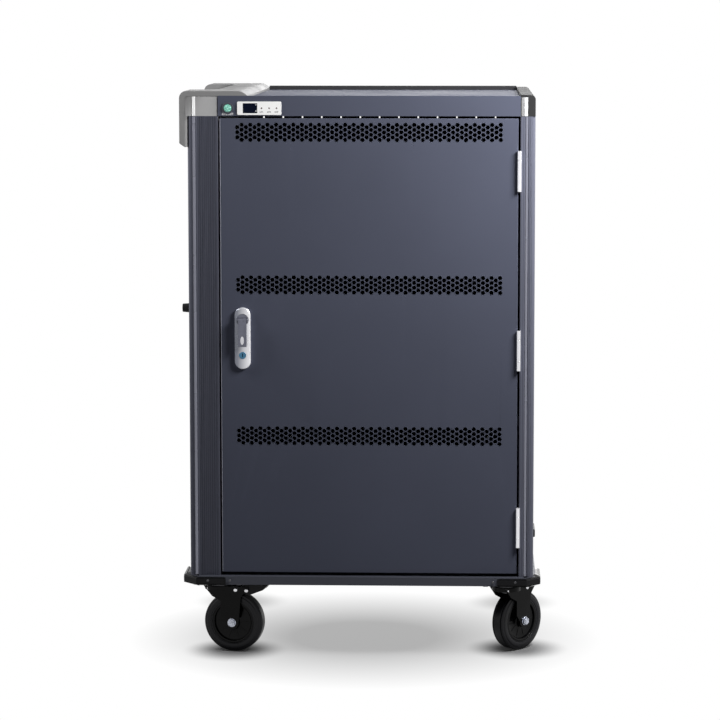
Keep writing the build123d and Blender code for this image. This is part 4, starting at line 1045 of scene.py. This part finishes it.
def makeAxle():
    # the shank between the fork's legs, with a washer, a nut and a stud end on each side
    axle = {
        "shank": 0.00495, "nut": 0.0066 / math.cos(math.pi / 6), "nutEnds": (0.0014, 0.0052), "nutEdge": 0.0005,
        "washer": [(0.0, 7.8), (0.3, 8.2), (1.1, 8.2), (1.4, 7.8)],
        "stud": [(5.0, 5.8), (5.4, 5.4), (5.0, 4.4), (5.9, 3.8), (6.0, 1.0)],
    }
    start = casters["legOuter"]

    def sideways(y):
        return wheelMiddle[0], y, wheelMiddle[2]

    parts = [prismPiece("shank", 32, axle["shank"], sideways(-start), sideways(start))]
    for side in (-1, 1):
        washer = turnedPiece("washer", inMetres(axle["washer"], start), wheelMiddle, (0, side, 0), 40)
        ends = [sideways(side * (start + out)) for out in axle["nutEnds"]]
        nut = prismPiece("nut", 6, axle["nut"], *ends)
        roundEdges(nut, axle["nutEdge"], 2)
        stud = turnedPiece("stud", inMetres(axle["stud"], start), wheelMiddle, (0, side, 0), 32)
        parts += [washer, nut, stud]
    piece = joinPieces(parts, "axle")
    smoothOver(piece, 40)
    return piece


def makeRivets(braked):
    rivets = {
        # along the fork, up from the floor, and whether only a fork with a pedal has it
        "places": [(0.038, 0.1215, False), (0.0595, 0.1212, True), (-0.015, 0.1225, False)],
        "outline": [(-1.0, 4.0), (0.3, 4.0), (1.26, 3.2), (1.8, 1.4)],
    }
    profile = inMetres(rivets["outline"], casters["legOuter"])
    heads = [
        turnedPiece("rivet", profile, (along, 0, up), (0, side, 0), 24)
        for along, up, pedalOnly in rivets["places"] if braked or not pedalOnly for side in (-1, 1)
    ]
    piece = joinPieces(heads, "rivets")
    smoothOver(piece, 50)
    return piece


wheelParts = [
    # master, first word of its nodes, finish
    (makeTyre(), "tyre", "tyreRubber"), (makeHub(), "hub", "hubBlack"), (makeAxle(), "axle", "nutZinc"),
]
for corner in casters["yaw"]:
    name = "".join(word.title() for word in corner.split("_"))
    place = casterPlace(corner)
    for master, part, finish in wheelParts:
        node = f"{part}_{corner}"
        piece = copyPiece(master, part + name, turn=place)
        settle(piece, bodyOfNode[node], finishes[finish], slotOfNode[node], node)
    node = f"fork_{corner}"
    fork = castCopy(node, "fork" + name, casters["forkEdge"], 2)
    settle(fork, bodyOfNode[node], finishes["forkBlack"], slotOfNode[node], node)
    rivets = makeRivets(corner.endswith("left"))
    rivets.data.transform(place)
    rivets.name = "forkRivets" + name
    settle(rivets, bodyOfNode[node], finishes["zincPlate"], slotOfNode[f"axle_{corner}"])
for master, part, finish in wheelParts:
    bpy.data.objects.remove(master)
print("casters made")


def makeScrews():
    # pan heads with a cross in the bumpers, and the hexagon bolts of the casters as they are
    screws = {
        "xs": (-0.291, -0.249, 0.249, 0.291), "z": 0.148, "seat": 0.2988, "cross": (0.0026, 0.0006),
        "crossFrom": -0.002, "crossTo": -0.0006, "boltsWithin": 0.28, "boltEdge": 0.0004,
        "head": [(0.0, 2.4), (0.4, 2.4), (0.8, 2.1), (1.1, 1.5), (1.2, 0.5)],
    }
    head = turnedPiece("head", inMetres(screws["head"]), (0, 0, 0), (0, -1, 0), 24)
    for wide, high in (screws["cross"], screws["cross"][::-1]):
        cutWith(head, boxPiece(
            "cross", (-wide / 2, screws["crossFrom"], -high / 2), (wide / 2, screws["crossTo"], high / 2),
        ))
    heads = []
    for x in screws["xs"]:
        heads.append(copyPiece(head, "head", (x, -screws["seat"], screws["z"])))
        heads.append(copyPiece(head, "head", (x, screws["seat"], screws["z"]), Matrix.Rotation(math.pi, 4, "Z")))
    bpy.data.objects.remove(head)
    screwPiece = joinPieces(heads, "bumperScrews")
    smoothOver(screwPiece, 40)
    settle(screwPiece, "cabinet", finishes["screwDark"], slotOfNode["base_fasteners"])
    bolts = castCopy("base_fasteners", "casterBolts", 0)
    activate(bolts)
    bpy.ops.object.mode_set(mode="EDIT")
    bpy.ops.mesh.select_mode(type="VERT")
    bpy.ops.mesh.select_all(action="DESELECT")
    bpy.ops.object.mode_set(mode="OBJECT")
    for point in bolts.data.vertices:
        point.select = abs(point.co.y) > screws["boltsWithin"]
    bpy.ops.object.mode_set(mode="EDIT")
    bpy.ops.mesh.delete(type="VERT")
    bpy.ops.object.mode_set(mode="OBJECT")
    roundEdges(bolts, screws["boltEdge"], 2)
    smoothOver(bolts)
    settle(bolts, "cabinet", finishes["screwDark"], slotOfNode["base_fasteners"], "base_fasteners")


makeScrews()


def makeButton():
    button = {
        "middle": (-0.249, -0.285, 1.0407),
        "dome": [(-11.2, 7.2), (1.8, 7.2), (2.6, 7.0), (3.1, 6.4), (3.4, 5.0), (3.5, 3.0), (3.5, 1.0)],
    }
    piece = turnedPiece("pushButton", inMetres(button["dome"]), button["middle"], (0, -1, 0), 48)
    smoothOver(piece, 40)
    return piece


settle(makeButton(), "power_button", finishes["litButton"], slotOfNode["power_button"], "power_button")


def printWord(name, word, size, place, finish, weight):
    # raised letters that face the front, a little bolder by weight
    thickness = 0.00006
    deselect()
    bpy.ops.object.text_add(location=(0, 0, 0))
    letters = bpy.context.object
    letters.data.body = word
    letters.data.size = size
    letters.data.align_x = "CENTER"
    letters.data.align_y = "CENTER"
    letters.data.offset = weight
    letters.data.extrude = thickness
    letters.data.resolution_u = 3
    activate(letters)
    bpy.ops.object.convert(target="MESH")
    letters = bpy.context.object
    letters.name = name
    letters.data.name = name
    letters.rotation_euler = (math.pi / 2, 0, 0)
    letters.location = place
    applyPlace(letters)
    settle(letters, "cabinet", finish, "white_plastic")


header = {
    "faceY": -0.28505, "buttonX": -0.249, "wordZ": 1.0298, "wordSize": 0.0058, "weight": 0.00022,
    "displayY": -0.28655, "lampXs": (-0.1855, -0.1715, -0.1575), "lampMarkZ": 1.0338, "lampMarkSize": 0.0042,
    "markWeight": 0.0001,
}
printWord(
    "onOffWord", "ON/OFF", header["wordSize"], (header["buttonX"], header["faceY"], header["wordZ"]),
    finishes["inkWhite"], header["weight"],
)


def makeWindow():
    # the dark window with two unit marks at its right edge
    window = {
        "edge": 0.0003, "markX": -0.1958, "markOut": 0.00005, "marks": (("V", 1.0468), ("A", 1.0358)), "size": 0.0044,
    }
    piece = castCopy("display_window", "displayWindow", window["edge"])
    settle(piece, "cabinet", finishes["windowDark"], "dark_window", "display_window")
    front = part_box("display_window")[0][1]
    for word, z in window["marks"]:
        place = (window["markX"], front - window["markOut"], z)
        printWord("windowMark" + word, word, window["size"], place, finishes["inkWhite"], header["markWeight"])


makeWindow()
for number, lampX in enumerate(header["lampXs"], start=1):
    printWord(
        f"lampMark{number}", f"LV{number}", header["lampMarkSize"],
        (lampX, header["displayY"], header["lampMarkZ"]), finishes["inkGrey"], header["markWeight"],
    )
print("header controls made")
